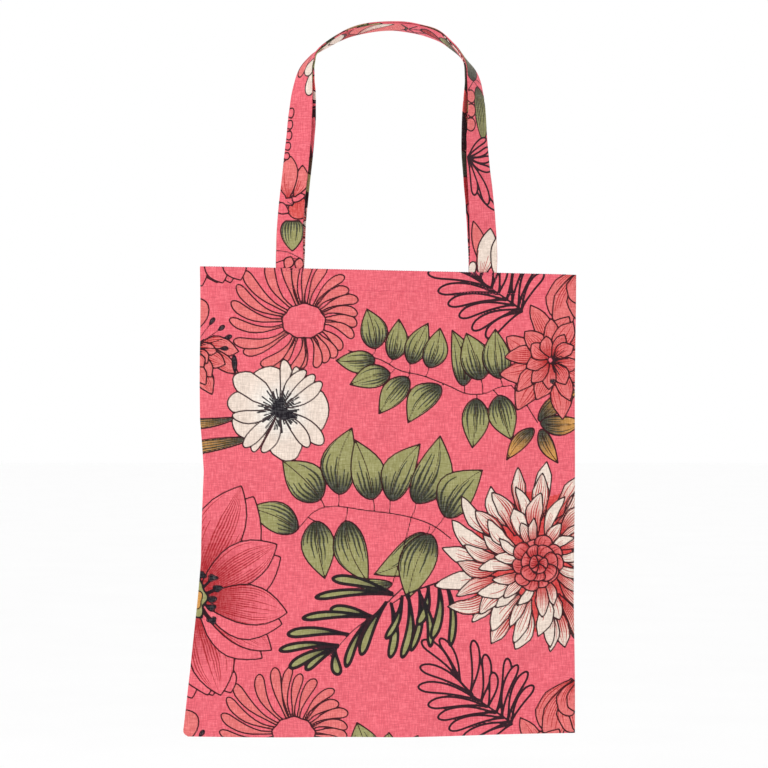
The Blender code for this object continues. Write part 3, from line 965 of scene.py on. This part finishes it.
def printed_cotton(name):
    """Plain-weave cotton that carries the print stored on its mesh."""
    finish = Finish(name, 0.88, 0.10, (1.0, 0.80, 0.82))
    place = finish.attribute("cloth_place").outputs["Vector"]
    fill = finish.attribute("print_fill")
    streak_dye = finish.attribute("print_streak").outputs["Color"]
    lines = finish.node("ShaderNodeSeparateXYZ")
    finish.put(lines.inputs[0], finish.attribute("print_lines").outputs["Vector"])
    slubs, relief = weave(finish, place)

    fuzz = finish.math("MULTIPLY_ADD", finish.noise(place, 1.3, 2.0), 0.26, -0.13)
    ink_edge = finish.math("ADD", lines.outputs[0], fuzz)
    ink = finish.ramp(ink_edge, 0.26, -0.14)

    number = finish.math("ADD", lines.outputs[1], finish.math(
        "MULTIPLY_ADD", finish.noise(place, 0.08, 2.0), 0.6, -0.3))
    which = finish.node("ShaderNodeTexWhiteNoise", noise_dimensions="1D")
    finish.put(which.inputs["W"], finish.math("FLOOR", number))
    end = finish.math("MULTIPLY_ADD", which.outputs["Value"], 0.95, 0.35)
    left = finish.math("SUBTRACT", 1.0, finish.math("DIVIDE", lines.outputs[2], end), clamp=True)
    thin = finish.math("MULTIPLY_ADD", finish.math("POWER", left, 1.6), 0.38, 0.13)
    off_middle = finish.math("ABSOLUTE", finish.math(
        "SUBTRACT", finish.math("FRACT", number), 0.5))
    streak = finish.ramp(finish.math("SUBTRACT", thin, off_middle), -0.06, 0.06)
    streak = finish.math("MULTIPLY", streak, finish.ramp(left, 0.0, 0.04))

    mottle = finish.noise(place, 0.035, 3.0, 0.55)
    speck = finish.noise(place, 0.75, 2.0, 0.6)
    colour = finish.mix(finish.math("MULTIPLY", streak, 0.95), fill.outputs["Color"], streak_dye)
    ink_dye = finish.mix(fill.outputs["Alpha"], (*MAROON, 1), (*INK, 1))
    colour = finish.mix(finish.math("MULTIPLY", ink, 0.97), colour, ink_dye)
    light = finish.math("MULTIPLY_ADD", slubs, 0.60, 0.352)
    light = finish.math("MULTIPLY", light, finish.math("MULTIPLY_ADD", mottle, 0.20, 0.90))
    light = finish.math("MULTIPLY", light, finish.math("MULTIPLY_ADD", speck, 0.24, 0.88))
    colour = finish.mix(1.0, colour, finish.grey(light), "MULTIPLY")
    # whitish fibres on the raised slubs, partly a painted sheen, kept off the ink
    pale = finish.math("MULTIPLY_ADD", slubs, 0.22, -0.205, clamp=True)
    pale = finish.math("MULTIPLY", pale, finish.math("MULTIPLY_ADD", ink, -0.9, 1.0))
    colour = finish.mix(1.0, colour, finish.grey(pale), "ADD")
    finish.put(finish.shader.inputs["Base Color"], colour)
    finish.bump(relief, 0.00022, 0.75)
    return finish.material


def sewing_thread(name, colour):
    """Twisted cotton thread, with shade painted into the grooves of its twist."""
    finish = Finish(name, 0.6, 0.2, (1.0, 0.85, 0.9))
    place = finish.attribute("thread_place").outputs["Vector"]
    split = finish.node("ShaderNodeSeparateXYZ")
    finish.put(split.inputs[0], place)
    twist = finish.math("SINE", finish.math("MULTIPLY_ADD", split.outputs[0], 14.0,
                                            split.outputs[1]))
    shade = finish.noise(place, 0.6, 2.0)
    # painted shade: the twist that the bump sinks into grooves also darkens the colour there, over
    # a random tone
    tone = finish.math("MULTIPLY_ADD", twist, 0.10, finish.math("MULTIPLY_ADD", shade, 0.3, 0.78))
    colour_with_groove_shade = finish.mix(1.0, (*colour, 1), finish.grey(tone), "MULTIPLY")
    finish.put(finish.shader.inputs["Base Color"], colour_with_groove_shade)
    finish.bump(twist, 0.00008)
    return finish.material


COTTON = printed_cotton("printed_cotton")
STRAP_COTTON = printed_cotton("printed_strap_cotton")
PINK_THREAD = sewing_thread("pink_thread", THREAD_PINK)
MAGENTA_THREAD = sewing_thread("magenta_thread", THREAD_MAGENTA)


# ---- pieces of the bag -------------------------------------------------------------
def fold_between(upper_node, lower_node):
    """How far below the mouth two rows of the bag meet."""
    return TOP_LEVEL - 1000 * (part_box(lower_node)[1].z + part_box(upper_node)[0].z) / 2


UPPER_FOLD = fold_between("front_panel_upper", "front_panel_middle")
LOWER_FOLD = fold_between("front_panel_middle", "front_panel_lower")
# The two halves of a sheet: the bodies on either side of its fold, the fold, and the rows it
# covers.
HALVES = {
    "upper": (("bag", "middle_row"), UPPER_FOLD, ("upper", "middle")),
    "lower": (("middle_row", "lower_row"), LOWER_FOLD, ("lower",)),
}


def bend_at_fold(piece, half):
    """Bakes the piece's placement into its points; the two halves are treated alike."""
    if half == "upper":
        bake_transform(piece)
    else:
        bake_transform(piece)


def cotton_piece(name, points, flip, cloth, nodes, part=np.s_[:]):
    """A printed sheet that stands for CAD nodes, from a grid of points or part of one."""
    points = points[part]
    piece = add_piece(name, points, grid_faces(*points.shape[:2], flip), COTTON)
    store_print(piece, cloth, part)
    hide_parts(*nodes)
    return piece


def rolled_top(panel):
    """Extra rows above a panel's first one: its cloth turned over the top edge."""
    first = panel.points[0]
    rows = []
    for angle in np.radians((180, 144, 108, 72, 36)):
        inward = EDGE_ROLL * (1 - math.cos(angle))
        up = EDGE_ROLL * math.sin(angle)
        rows.append(first + np.array((0, -panel.side * inward, up)))
    inside = rows[0] + np.array((0, 0, -4.0))
    return np.array([inside] + rows)


def make_panel(side, cell, seed, start):
    """The front or back cloth, in two pieces that meet inside the middle row."""
    panel = Panel(side, cell, seed)
    points = np.concatenate([rolled_top(panel), panel.points])
    above = np.array((2.6, 1.5, 1.2, 0.9, 0.6, 0.3))[:, None]
    extra = len(above)
    across = np.concatenate([np.repeat(panel.across[:1], extra, axis=0), panel.across])
    below = np.concatenate([panel.below[:1] - above, panel.below])
    cloth = Print(-across if side == BACK else across, below)
    print_fabric(cloth, start)
    cut = extra + int(np.abs(panel.below.mean(axis=1) - SPLIT_BELOW).argmin())
    word = WORDS[side]
    made = {}
    for half, part in (("upper", np.s_[:cut + 1]), ("lower", np.s_[cut:])):
        nodes = [f"{word}_panel_{row}" for row in HALVES[half][2]]
        made[half] = cotton_piece(f"{word}_cloth_{half}", points, side == BACK, cloth, nodes, part)
        bend_at_fold(made[half], half)
    return panel, made


def make_facing(panel):
    """The hem's inner layer: a strip behind the strap ends, folded over at its top."""
    side = panel.side
    word = WORDS[side]
    columns = int((TOP_RIGHT[0] - TOP_LEFT[0] - 2 * HEM_INSET) / FACING_CELL)
    across = np.linspace(TOP_LEFT[0] + HEM_INSET, TOP_RIGHT[0] - HEM_INSET, columns)
    drop = np.array((0.0, 0.3, 1.0, 3.0, 6.0, 9.0, 12.0, 15.0, 18.0, 19.6, 20.6, 20.8))
    rows = []
    for down in drop:
        row = panel.surface(across, top_edge(across) + down)
        gap = 1.25 + 1.75 * over_foot(across) * (1 - smooth((down - 15) / 5))
        if down in (drop[0], drop[-1]):
            gap = gap - 0.35
        row[:, 1] -= side * gap
        row[:, 2] = TOP_LEVEL - top_edge(across) - down + 0.1
        rows.append(row)
    cloth = Print(np.tile(across, (len(drop), 1)), np.repeat(drop[:, None], columns, axis=1))
    print_fabric(cloth, (30.0 * side, 220.0))
    piece = cotton_piece(f"{word}_hem_facing_cloth", np.array(rows), side == FRONT, cloth,
                         [f"{word}_hem_facing"])
    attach(piece, "bag")
    return piece


# ---- stitches ----------------------------------------------------------------------
THREAD_SIDES = 6


def thread_tube(line, radius, taper=True):
    """Rings of points round a short line, closed at the ends, and their faces."""
    line = np.asarray(line, float)
    ahead = np.gradient(line, axis=0)
    ahead /= np.linalg.norm(ahead, axis=1)[:, None]
    side = np.cross(ahead, (0.13, 1.0, 0.21))
    side /= np.linalg.norm(side, axis=1)[:, None]
    other = np.cross(ahead, side)
    turn = 2 * np.pi * np.arange(THREAD_SIDES) / THREAD_SIDES
    share = np.linspace(0, 1, len(line))
    size = np.full(len(line), radius)
    if taper:
        size *= np.sqrt(np.clip(1 - (2 * share - 1) ** 4, 0.03, 1))
    ring = np.cos(turn)[:, None] * side[:, None] + np.sin(turn)[:, None] * other[:, None]
    points = line[:, None] + ring * size[:, None, None]
    run = np.concatenate([[0], np.cumsum(np.linalg.norm(np.diff(line, axis=0), axis=1))])
    place = np.stack([np.repeat(run[:, None], THREAD_SIDES, axis=1),
                      np.repeat(turn[None, :], len(line), axis=0)], axis=-1)
    faces = grid_faces(len(line), THREAD_SIDES, around=True) + end_faces(len(line), THREAD_SIDES)
    return points.reshape(-1, 3), faces, place.reshape(-1, 2)


def thread_piece(name, tubes, finish):
    """One object made of many short threads."""
    points, faces, places, start = [], [], [], 0
    for tube_points, tube_faces, place in tubes:
        points.append(tube_points)
        places.append(place)
        faces += [[i + start for i in face] for face in tube_faces]
        start += len(tube_points)
    piece = add_piece(name, np.vstack(points), faces, finish)
    places = np.vstack(places)
    store(piece, "thread_place", "FLOAT_VECTOR", np.column_stack([places, np.zeros(len(places))]))
    return piece


def stitch_row(panel, ends, spacing=3.1, length=2.3, radius=0.2):
    """Running stitches on a panel between two (across, below) places."""
    first, last = np.array(ends[0], float), np.array(ends[1], float)
    total = float(np.hypot(*(last - first)))
    tubes = []
    for i in range(int(total / spacing)):
        run = (i * spacing + 0.3 + np.linspace(0, length, 5)) / total
        place = first + (last - first) * run[:, None]
        line = panel.surface(place[:, 0], place[:, 1])
        dip = radius * np.linspace(-1, 1, 5) ** 4
        line[:, 1] += panel.side * (0.05 + radius * 0.4 - dip)
        tubes.append(thread_tube(line, radius))
    return tubes


def make_hem_stitches(panel):
    """The row of stitches that holds the hem, and the fine ones over its top edge."""
    word = WORDS[panel.side]
    left, right = TOP_LEFT[0] + HEM_INSET, TOP_RIGHT[0] - HEM_INSET
    tubes = stitch_row(panel, ((left, top_edge(left) + HEM_TALL),
                               (right, top_edge(right) + HEM_TALL)))
    piece = thread_piece(f"{word}_hem_stitches", tubes, PINK_THREAD)
    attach(piece, "bag")
    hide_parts(f"{word}_hem_stitching")
    top = []
    spacing = 2.4
    for i in range(int((right - left) / spacing)):
        across = left + spacing * i
        place = np.array([across, across + 1.7])
        line = panel.surface(place, top_edge(place))
        line = np.array([line[0], (line[0] + line[1]) / 2, line[1]])
        line[:, 1] -= panel.side * np.array((0.25, 0.45, 0.65))
        line[:, 2] += np.array((0.42, 0.55, 0.42))
        top.append(thread_tube(line, 0.16))
    edge = thread_piece(f"{word}_top_edge_stitches", top, MAGENTA_THREAD)
    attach(edge, "bag")
    return [piece, edge]


def make_box_stitches(panel):
    """A square of stitching over each strap end, with a tack of darker thread on top."""
    word = WORDS[panel.side]
    made = []
    for foot, which in zip(FEET, ("left", "right")):
        half = STRAP_WIDE / 2 - 1.2
        high, low = 2.2, STRAP_IN_HEM - 1.0
        square = [(foot - half, high), (foot + half, high), (foot + half, low), (foot - half, low)]
        square = [(x, top_edge(x) + down) for x, down in square]
        tubes = []
        for i in range(4):
            tubes += stitch_row(panel, (square[i], square[(i + 1) % 4]), 2.6, 1.9, 0.18)
        piece = thread_piece(f"{word}_{which}_box_stitches", tubes, PINK_THREAD)
        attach(piece, "bag")
        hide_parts(f"{word}_{which}_box_stitch")
        tacks = []
        for i in range(7):
            across = foot - half + 1 + i * (2 * half - 2) / 6
            place = np.array([across, across + 0.9])
            line = panel.surface(place, top_edge(place) + np.array((0.25, 2.0)))
            line[:, 1] += panel.side * 0.12
            line = np.array([line[0] + (0, 0, 0.4), (line[0] + line[1]) / 2, line[1]])
            tacks.append(thread_tube(line, 0.2))
        tack = thread_piece(f"{word}_{which}_tacks", tacks, MAGENTA_THREAD)
        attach(tack, "bag")
        made += [piece, tack]
    return made


# Across an allowance, down its front layer and back up its back layer: how far in from
# the seam, how deep, and where that is on the printed fabric.
LAYER = np.array((SEAM_START, 2.5, 4.5, 6.5, SEAM_WIDE))
LAYER_DEPTH = np.array((0.15, 0.22, 0.30, 0.34, 0.30))
LAYER_IN = np.concatenate([LAYER, LAYER[::-1]])
LAYERS_DEPTH = np.concatenate([-LAYER_DEPTH, LAYER_DEPTH[::-1]])
LAYERS_PLACE = np.concatenate([LAYER, LAYER[::-1] + 20])
OVERLOCK_STEP = 1.6


def allowance_points(seam, inward):
    """Rows of points across both layers of an allowance, one row for each seam point."""
    points = seam[:, None] + np.array(inward) * LAYER_IN[:, None]
    points[..., 1] += LAYERS_DEPTH
    return points


def overlock(name, seam, inward):
    """A zigzag of thread over the allowance's edge, in front of it and behind it in turn."""
    number = np.arange(len(seam))
    odd = number % 2
    line = seam + np.array(inward) * (SEAM_WIDE + 0.15 - 1.5 * odd)[:, None]
    line[:, 1] = 0.62 * odd * (1 - 2 * (number // 2 % 2))
    return thread_piece(name, [thread_tube(line, 0.17, taper=False)], PINK_THREAD)


def seam_line(across, below):
    """Points on a seam, from their places on the bag."""
    return np.column_stack([across, np.zeros(len(across)), TOP_LEVEL - below])


def make_side_seam(word, edge, inward):
    """The turned-in seam allowance down one side, and its overlocked edge."""
    low = CORNER_BELOW - HEM_INSET
    for half, start, slope, end in (("upper", 1.5, top_edge(edge(0)), SPLIT_BELOW),
                                    ("lower", SPLIT_BELOW, 0.0, low)):
        named = HALVES[half][2]
        rows = int((end - start) / 2.0)
        below = np.linspace(start + slope, end, rows)
        points = allowance_points(seam_line(edge(below), below), (inward, 0, 0))
        points[..., 1] += 0.12 * np.sin(below / 4.1)[:, None] * LAYER_IN / SEAM_WIDE
        cloth = Print(np.tile(LAYERS_PLACE, (rows, 1)),
                      np.repeat(below[:, None], len(LAYER_IN), axis=1))
        print_fabric(cloth, (SIDE_REPEAT / 2, 0))
        piece = cotton_piece(f"{word}_seam_allowance_{half}", points, inward < 0, cloth,
                             [f"{word}_side_seam_{row}" for row in named])
        bend_at_fold(piece, half)
        first = max(start + slope, HEM_TALL)
        down = np.linspace(first, end, int((end - first) / OVERLOCK_STEP))
        threads = overlock(f"{word}_seam_overlock_{half}", seam_line(edge(down), down),
                           (inward, 0, 0))
        bend_at_fold(threads, half)
        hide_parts(*(f"{word}_seam_thread_{row}" for row in named))


def make_base_seam():
    """The turned-in seam allowance along the base, and its overlocked edge."""
    inset, columns = 2.0, 190
    low = CORNER_BELOW - inset
    left, right = left_edge(low) + inset, right_edge(low) - inset
    across = np.linspace(left, right, columns)
    points = allowance_points(seam_line(across, base_edge(across)), (0, 0, 1))
    cloth = Print(np.tile(across, (len(LAYER_IN), 1)),
                  np.repeat(LAYERS_PLACE[:, None], columns, axis=1))
    print_fabric(cloth, (0, SIDE_REPEAT / 2))
    piece = cotton_piece("base_seam_allowance", points.swapaxes(0, 1), True, cloth,
                         ["base_seam"])
    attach(piece, "lower_row")
    count = int((right - left - 2 * SEAM_WIDE) / OVERLOCK_STEP)
    across = np.linspace(left + SEAM_WIDE, right - SEAM_WIDE, count)
    threads = overlock("base_seam_overlock", seam_line(across, base_edge(across)), (0, 0, 1))
    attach(threads, "lower_row")
    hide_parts("base_seam_thread")


# ---- the straps --------------------------------------------------------------------
def strap_frames(side):
    """(middle, across, outward, run) along a strap, from inside one hem to the other."""
    ends = [(foot, -STRAP_IN_HEM, 0.0) for foot in FEET]
    fine = curve(ends[0], *STRAP_ROUTE, ends[1], count=2400)
    run = np.concatenate([[0], np.cumsum(np.linalg.norm(np.diff(fine[:, :2], axis=0), axis=1))])
    stations = int(run[-1] / STRAP_CELL)
    even = np.linspace(0, run[-1], stations)
    route = np.column_stack([np.interp(even, run, fine[:, k]) for k in range(3)])
    ahead = np.gradient(route[:, :2], axis=0)
    ahead /= np.linalg.norm(ahead, axis=1)[:, None]
    height = np.clip(route[:, 1] / route[:, 1].max(), 0, 1)
    apart = FOOT_APART + (TOP_APART - FOOT_APART) * smooth((height - 0.58) / 0.28)
    inward = np.column_stack([ahead[:, 1], np.zeros(stations), -ahead[:, 0]])
    front = np.array((0.0, -1.0, 0.0))
    turn = np.radians(route[:, 2])[:, None]
    across = inward * np.cos(turn) + front * np.sin(turn)
    outward = (front * np.cos(turn) - inward * np.sin(turn)) * -side
    middle = np.column_stack([route[:, 0], np.zeros(stations), TOP_LEVEL + route[:, 1]])
    middle = middle + outward * apart[:, None] / 2
    return middle, across, outward, even - STRAP_IN_HEM


def strap_section():
    """The strap's rounded section: (across, outward, place round it) for each point."""
    half, thick = STRAP_WIDE / 2, STRAP_THICK / 2
    flat = np.linspace(-half + 0.5, half - 0.5, 28)
    pillow = thick * (1 - 0.25 * (np.abs(flat) / half) ** 6)
    face = np.column_stack([flat, pillow, flat])
    far_edge = np.array(((half - 0.15, thick * 0.45, half), (half - 0.35, 0.0, FACE_END),
                         (half - 0.15, -thick * 0.45, half + 1.2)))
    back_face = np.column_stack([flat[::-1], -pillow[::-1], 2 * half + 1.2 - flat[::-1]])
    near_edge = np.array(((-half + 0.12, -thick * 0.5, 3 * half + 1.2),
                          (-half, 0.0, 3 * half + 1.9),
                          (-half + 0.12, thick * 0.5, 3 * half + 2.4)))
    return np.vstack([face, far_edge, back_face, near_edge])


def front_strap_print(cloth, end):
    """Scraps of the same fabric as they fall on the front handle, which ends at end."""
    for tilt, down in ((-6, 3), (-2, 9), (5, 15)):
        cloth.line(curve((-16, down + tilt), (0, down + 3), (16, down - tilt)), 0.5)
    petal(cloth, (-4, 2), (2, 14), 10, POINTED, colour=CORAL)
    petal(cloth, (8, 0), (11, 13), 9, POINTED, colour=CORAL)
    petal(cloth, (3, 50), (3, 20), 25, (0.3, 0.25, 0.8, 0.6), colour=OLIVE, streaks=8, reach=0.9,
          streak_dye=DARK_OLIVE)
    petal(cloth, (8, 78), (8, 52), 22, ROUND, colour=DEEP_CORAL, streaks=8, reach=0.6)
    petal(cloth, (14, 76), (-4, 72), 10, POINTED, colour=LIGHT_PINK)
    petal(cloth, (2, 66), (-16, 78), 14, ROUND, colour=PINK, streaks=4, reach=0.35,
          streak_dye=MAROON)
    petal(cloth, (-2, 58), (-16, 64), 11, ROUND, colour=PINK)
    petal(cloth, (2, 74), (8, 106), 15, POINTED, bend=-0.12, colour=CORAL, streaks=6,
          reach=0.45)
    petal(cloth, (-4, 72), (-6, 114), 24, POINTED, bend=0.08, colour=CORAL, streaks=9,
          reach=0.5)
    for down, size in ((114, 7), (124, 8), (135, 9), (146, 9), (158, 10)):
        petal(cloth, (-24, down), (-8 + 0.06 * size, down), size, CLUB, colour=LIGHT_PINK)
    for base, tip, wide in (((18, 205), (8, 176), 14), ((22, 214), (0, 198), 15),
                            ((-4, 222), (-8, 194), 12)):
        petal(cloth, base, tip, wide, ROUND, colour=CREAM if base[0] > 0 else CORAL)
    leaf(cloth, (16, 246), (-12, 224), 17, 0.08)
    leaf(cloth, (-17, 346), (10, 326), 16, -0.08)
    coral_flower(cloth, (5, 287), 44, np.arange(9) * 0.7 + 0.4, 21)
    petal(cloth, (4, end - 190), (-2, end - 246), 36, LEAF, colour=OLIVE, base_colour=DARK_OLIVE,
          streaks=7, reach=0.9, streak_dye=DARK_OLIVE)
    cloth.line(curve((-15, end - 186), (0, end - 191), (15, end - 180)), 0.5)
    cloth.line(curve((-15, end - 178), (4, end - 190)), 0.5)
    petal(cloth, (-2, end - 184), (-8, end - 128), 22, LEAF, bend=0.05, colour=OLIVE,
          streaks=8, reach=1.1, streak_dye=DARK_OLIVE)
    for down in (176, 162, 148):
        petal(cloth, (20, end - down), (3, end - down + 3), 13, ROUND, colour=CORAL)
    for across, before_end, wide in ((-12, 133, 6), (-15, 123, 6), (-16, 112, 7), (-15, 100, 7),
                                     (-15, 60, 8), (7, 76, 8), (-7, 66, 9)):
        petal(cloth, (13, end - 114), (across, end - before_end), wide, BLADE,
              bend=0.06 if across > -14 else -0.08, colour=PINK, line=0.9, tone=1.0)
    petal(cloth, (-4, end + 4), (10, end - 50), 14, POINTED, colour=CORAL)
    petal(cloth, (2, end + 8), (-8, end - 42), 20, POINTED, colour=CREAM, streaks=9, reach=0.62)
    petal(cloth, (-13, end + 6), (-17, end - 36), 16, POINTED, colour=CREAM)
    petal(cloth, (12, end + 8), (10, end - 9), 8, ROUND, colour=CREAM)


# The back handle's print, on its outer face: from where to where along it, the dye, and
# how much the ends slant. Then on its inner face, at the edge: from where to where, and the dye.
OUTER_BANDS = ((226, 240, CREAM, 4), (240, 252, CREAM, -3), (252, 266, DEEP_RED, 5),
               (266, 312, CORAL, -6), (312, 362, PINK, 8))
INNER_SPOTS = ((66, 82, MAROON), (82, 100, OLIVE), (100, 116, BROWN), (172, 181, CREAM),
               (181, 196, DEEP_CORAL), (392, 420, DARK_OLIVE), (420, 446, DEEP_CORAL),
               (446, 480, MAROON), (480, 505, DARK_OLIVE), (505, 532, DEEP_RED))
OUTER_FACE = (-15.5, 15.0)
INNER_EDGE = 44.0


def back_strap_print(cloth):
    """Scraps of the same fabric where they show on the back handle."""
    low, high = OUTER_FACE
    middle = (low + high) / 2
    for start, end, colour, slant in OUTER_BANDS:
        near = curve((low, start), (middle, start + slant), (high, start - slant), count=9)
        far = curve((high, end + slant), (middle, end - slant), (low, end), count=9)
        cloth.area(np.vstack([near, far]), colour)
    for start, end, colour in INNER_SPOTS:
        spot = (INNER_EDGE, (start + end) / 2)
        cloth.area(blob(spot, 10, (end - start) / 2 + 1, 3, 0.10, start), colour)
    petal(cloth, (12, 268), (-12, 306), 13, POINTED, bend=0.1, colour=CREAM, streaks=5, reach=0.9)
    petal(cloth, (-4, 346), (6, 318), 12, BLADE, colour=PINK, line=THICK, tone=1.0)
    petal(cloth, (8, 360), (-8, 334), 12, BLADE, colour=DEEP_RED, line=THICK, tone=1.0)
    cloth.line(curve((-15, 330), (0, 322), (15, 334)), 0.8, 1.0)


def print_strap(side, round_it, along):
    """The print on a strap, from each point's place round it and along it."""
    cloth = Print(round_it, along)
    print_fabric(cloth, (-20.0 if side == FRONT else 60.0, -140.0))
    if side == BACK:
        back_strap_print(cloth)
        return cloth
    outer = round_it < FACE_END
    face = Print(round_it, along)
    front_strap_print(face, along[-1, 0] - STRAP_IN_HEM)
    for field in ("fill", "streak_dye", "ink", "tone", "streak", "reach"):
        new, old = getattr(face, field), getattr(cloth, field)
        shown = outer if new.ndim == 2 else outer[..., None]
        setattr(cloth, field, np.where(shown, new, old))
    return cloth


def make_strap(side):
    """A handle: one closed strip of cloth from inside the hem, over its arch and back."""
    middle, across, outward, run = strap_frames(side)
    section = strap_section()
    if side == BACK:
        section[:, 0] *= -1
    height = middle[:, 2] - TOP_LEVEL
    cup = 0.5 * smooth(height / 40) * np.sin(run / 47.0)
    ripple = 0.16 * smooth(height / 30) * np.sin(run / 5.3 + 2 * np.sin(run / 29))
    crease = sum(0.3 * np.exp(-((run - place) / 1.1) ** 2) for place in STRAP_CREASES)
    cupped = 1 - (section[:, 0] / (STRAP_WIDE / 2)) ** 2
    offset = section[:, 1] + cup[:, None] * cupped + (ripple - crease)[:, None]
    points = (middle[:, None] + across[:, None] * section[:, 0][None, :, None]
              + outward[:, None] * offset[..., None])
    rows, columns = len(run), len(section)
    cloth = print_strap(side, np.tile(section[:, 2], (rows, 1)),
                        np.repeat(run[:, None], columns, axis=1))
    ends = end_faces(rows, columns)
    faces = grid_faces(rows, columns, side == BACK, around=True)
    faces += [face[::-1] for face in ends] if side == FRONT else ends
    word = WORDS[side]
    piece = add_piece(f"{word}_strap", points, faces, STRAP_COTTON)
    store_print(piece, cloth)
    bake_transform(piece)
    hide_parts(f"{word}_handle", f"{word}_left_strap_end", f"{word}_right_strap_end")


# ---- light, floor and camera -------------------------------------------------------
def plain_material(name, colour, roughness):
    """A faintly mottled matt finish."""
    finish = Finish(name, roughness, 0.0, (1, 1, 1))
    place = finish.node("ShaderNodeTexCoord").outputs["Object"]
    shade = finish.math("MULTIPLY_ADD", finish.noise(place, 3.0, 4.0), 0.03, 0.985)
    finish.put(finish.shader.inputs["Base Color"],
               finish.mix(1.0, (*colour, 1), finish.grey(shade), "MULTIPLY"))
    return finish.material


FLOOR_SIZE_M = 30.0         # from its middle to each side
FLOOR_GAP_M = 0.55          # from the hanging bag's lowest point down to the floor
# Each lamp: its name, and where it is from the bag's middle, in metres.
LAMPS = (("key_light", (-1.6, -1.9, 1.3)), ("back_light", (1.5, 2.1, 1.0)))
LAMP_POWER = 16.0
LAMP_SIZE_M = 1.0


def make_studio():
    """A pale floor, a white surrounding and two soft lamps."""
    size, level = FLOOR_SIZE_M, CAD_BOX[0].z - FLOOR_GAP_M
    mesh = bpy.data.meshes.new("studio_floor")
    mesh.from_pydata([(-size, -size, level), (size, -size, level), (size, size, level),
                      (-size, size, level)], [], [(0, 1, 2, 3)])
    mesh.materials.append(plain_material("pale_floor", (0.98, 0.98, 0.98), 0.9))
    floor = bpy.data.objects.new("studio_floor", mesh)
    bpy.context.scene.collection.objects.link(floor)
    world = bpy.data.worlds.new("studio")
    world.use_nodes = True
    sky = world.node_tree.nodes["Background"]
    sky.inputs["Color"].default_value = (1, 1, 1, 1)
    sky.inputs["Strength"].default_value = 1.0
    bpy.context.scene.world = world
    middle = (CAD_BOX[0] + CAD_BOX[1]) / 2
    for name, place in LAMPS:
        lamp = bpy.data.lights.new(name, "AREA")
        lamp.energy = LAMP_POWER
        lamp.size = LAMP_SIZE_M
        holder = bpy.data.objects.new(name, lamp)
        bpy.context.scene.collection.objects.link(holder)
        holder.location = middle + Vector(place)
        aim = middle - holder.location
        holder.rotation_mode = "QUATERNION"
        holder.rotation_quaternion = aim.to_track_quat("-Z", "Y")


FRAME_WIDE_M = 0.768        # how much of the bag's plane the picture spans
LENS = 135.0
SENSOR = 36.0
VIEW_CENTRE_M = (-0.004, -0.3557)


def make_camera():
    """A long lens, straight on to the front."""
    data = bpy.data.cameras.new("camera")
    data.lens = LENS
    data.sensor_width = SENSOR
    camera = bpy.data.objects.new("camera", data)
    bpy.context.scene.collection.objects.link(camera)
    distance = FRAME_WIDE_M * LENS / SENSOR
    camera.location = (VIEW_CENTRE_M[0], -distance, VIEW_CENTRE_M[1])
    camera.rotation_euler = (math.radians(90), 0, 0)
    bpy.context.scene.camera = camera


def main():
    bpy.context.scene.view_settings.view_transform = "Standard"
    make_studio()
    make_camera()
    for side, cell, seed, start in ((FRONT, CELL, 5, (0.0, 0.0)),
                                    (BACK, BACK_CELL, 8, (212.0, 150.0))):
        panel, pieces = make_panel(side, cell, seed, start)
        facing = make_facing(panel)
        make_strap(side)
        stitches = make_hem_stitches(panel) + make_box_stitches(panel)
    make_side_seam("left", left_edge, 1)
    make_side_seam("right", right_edge, -1)
    make_base_seam()


main()
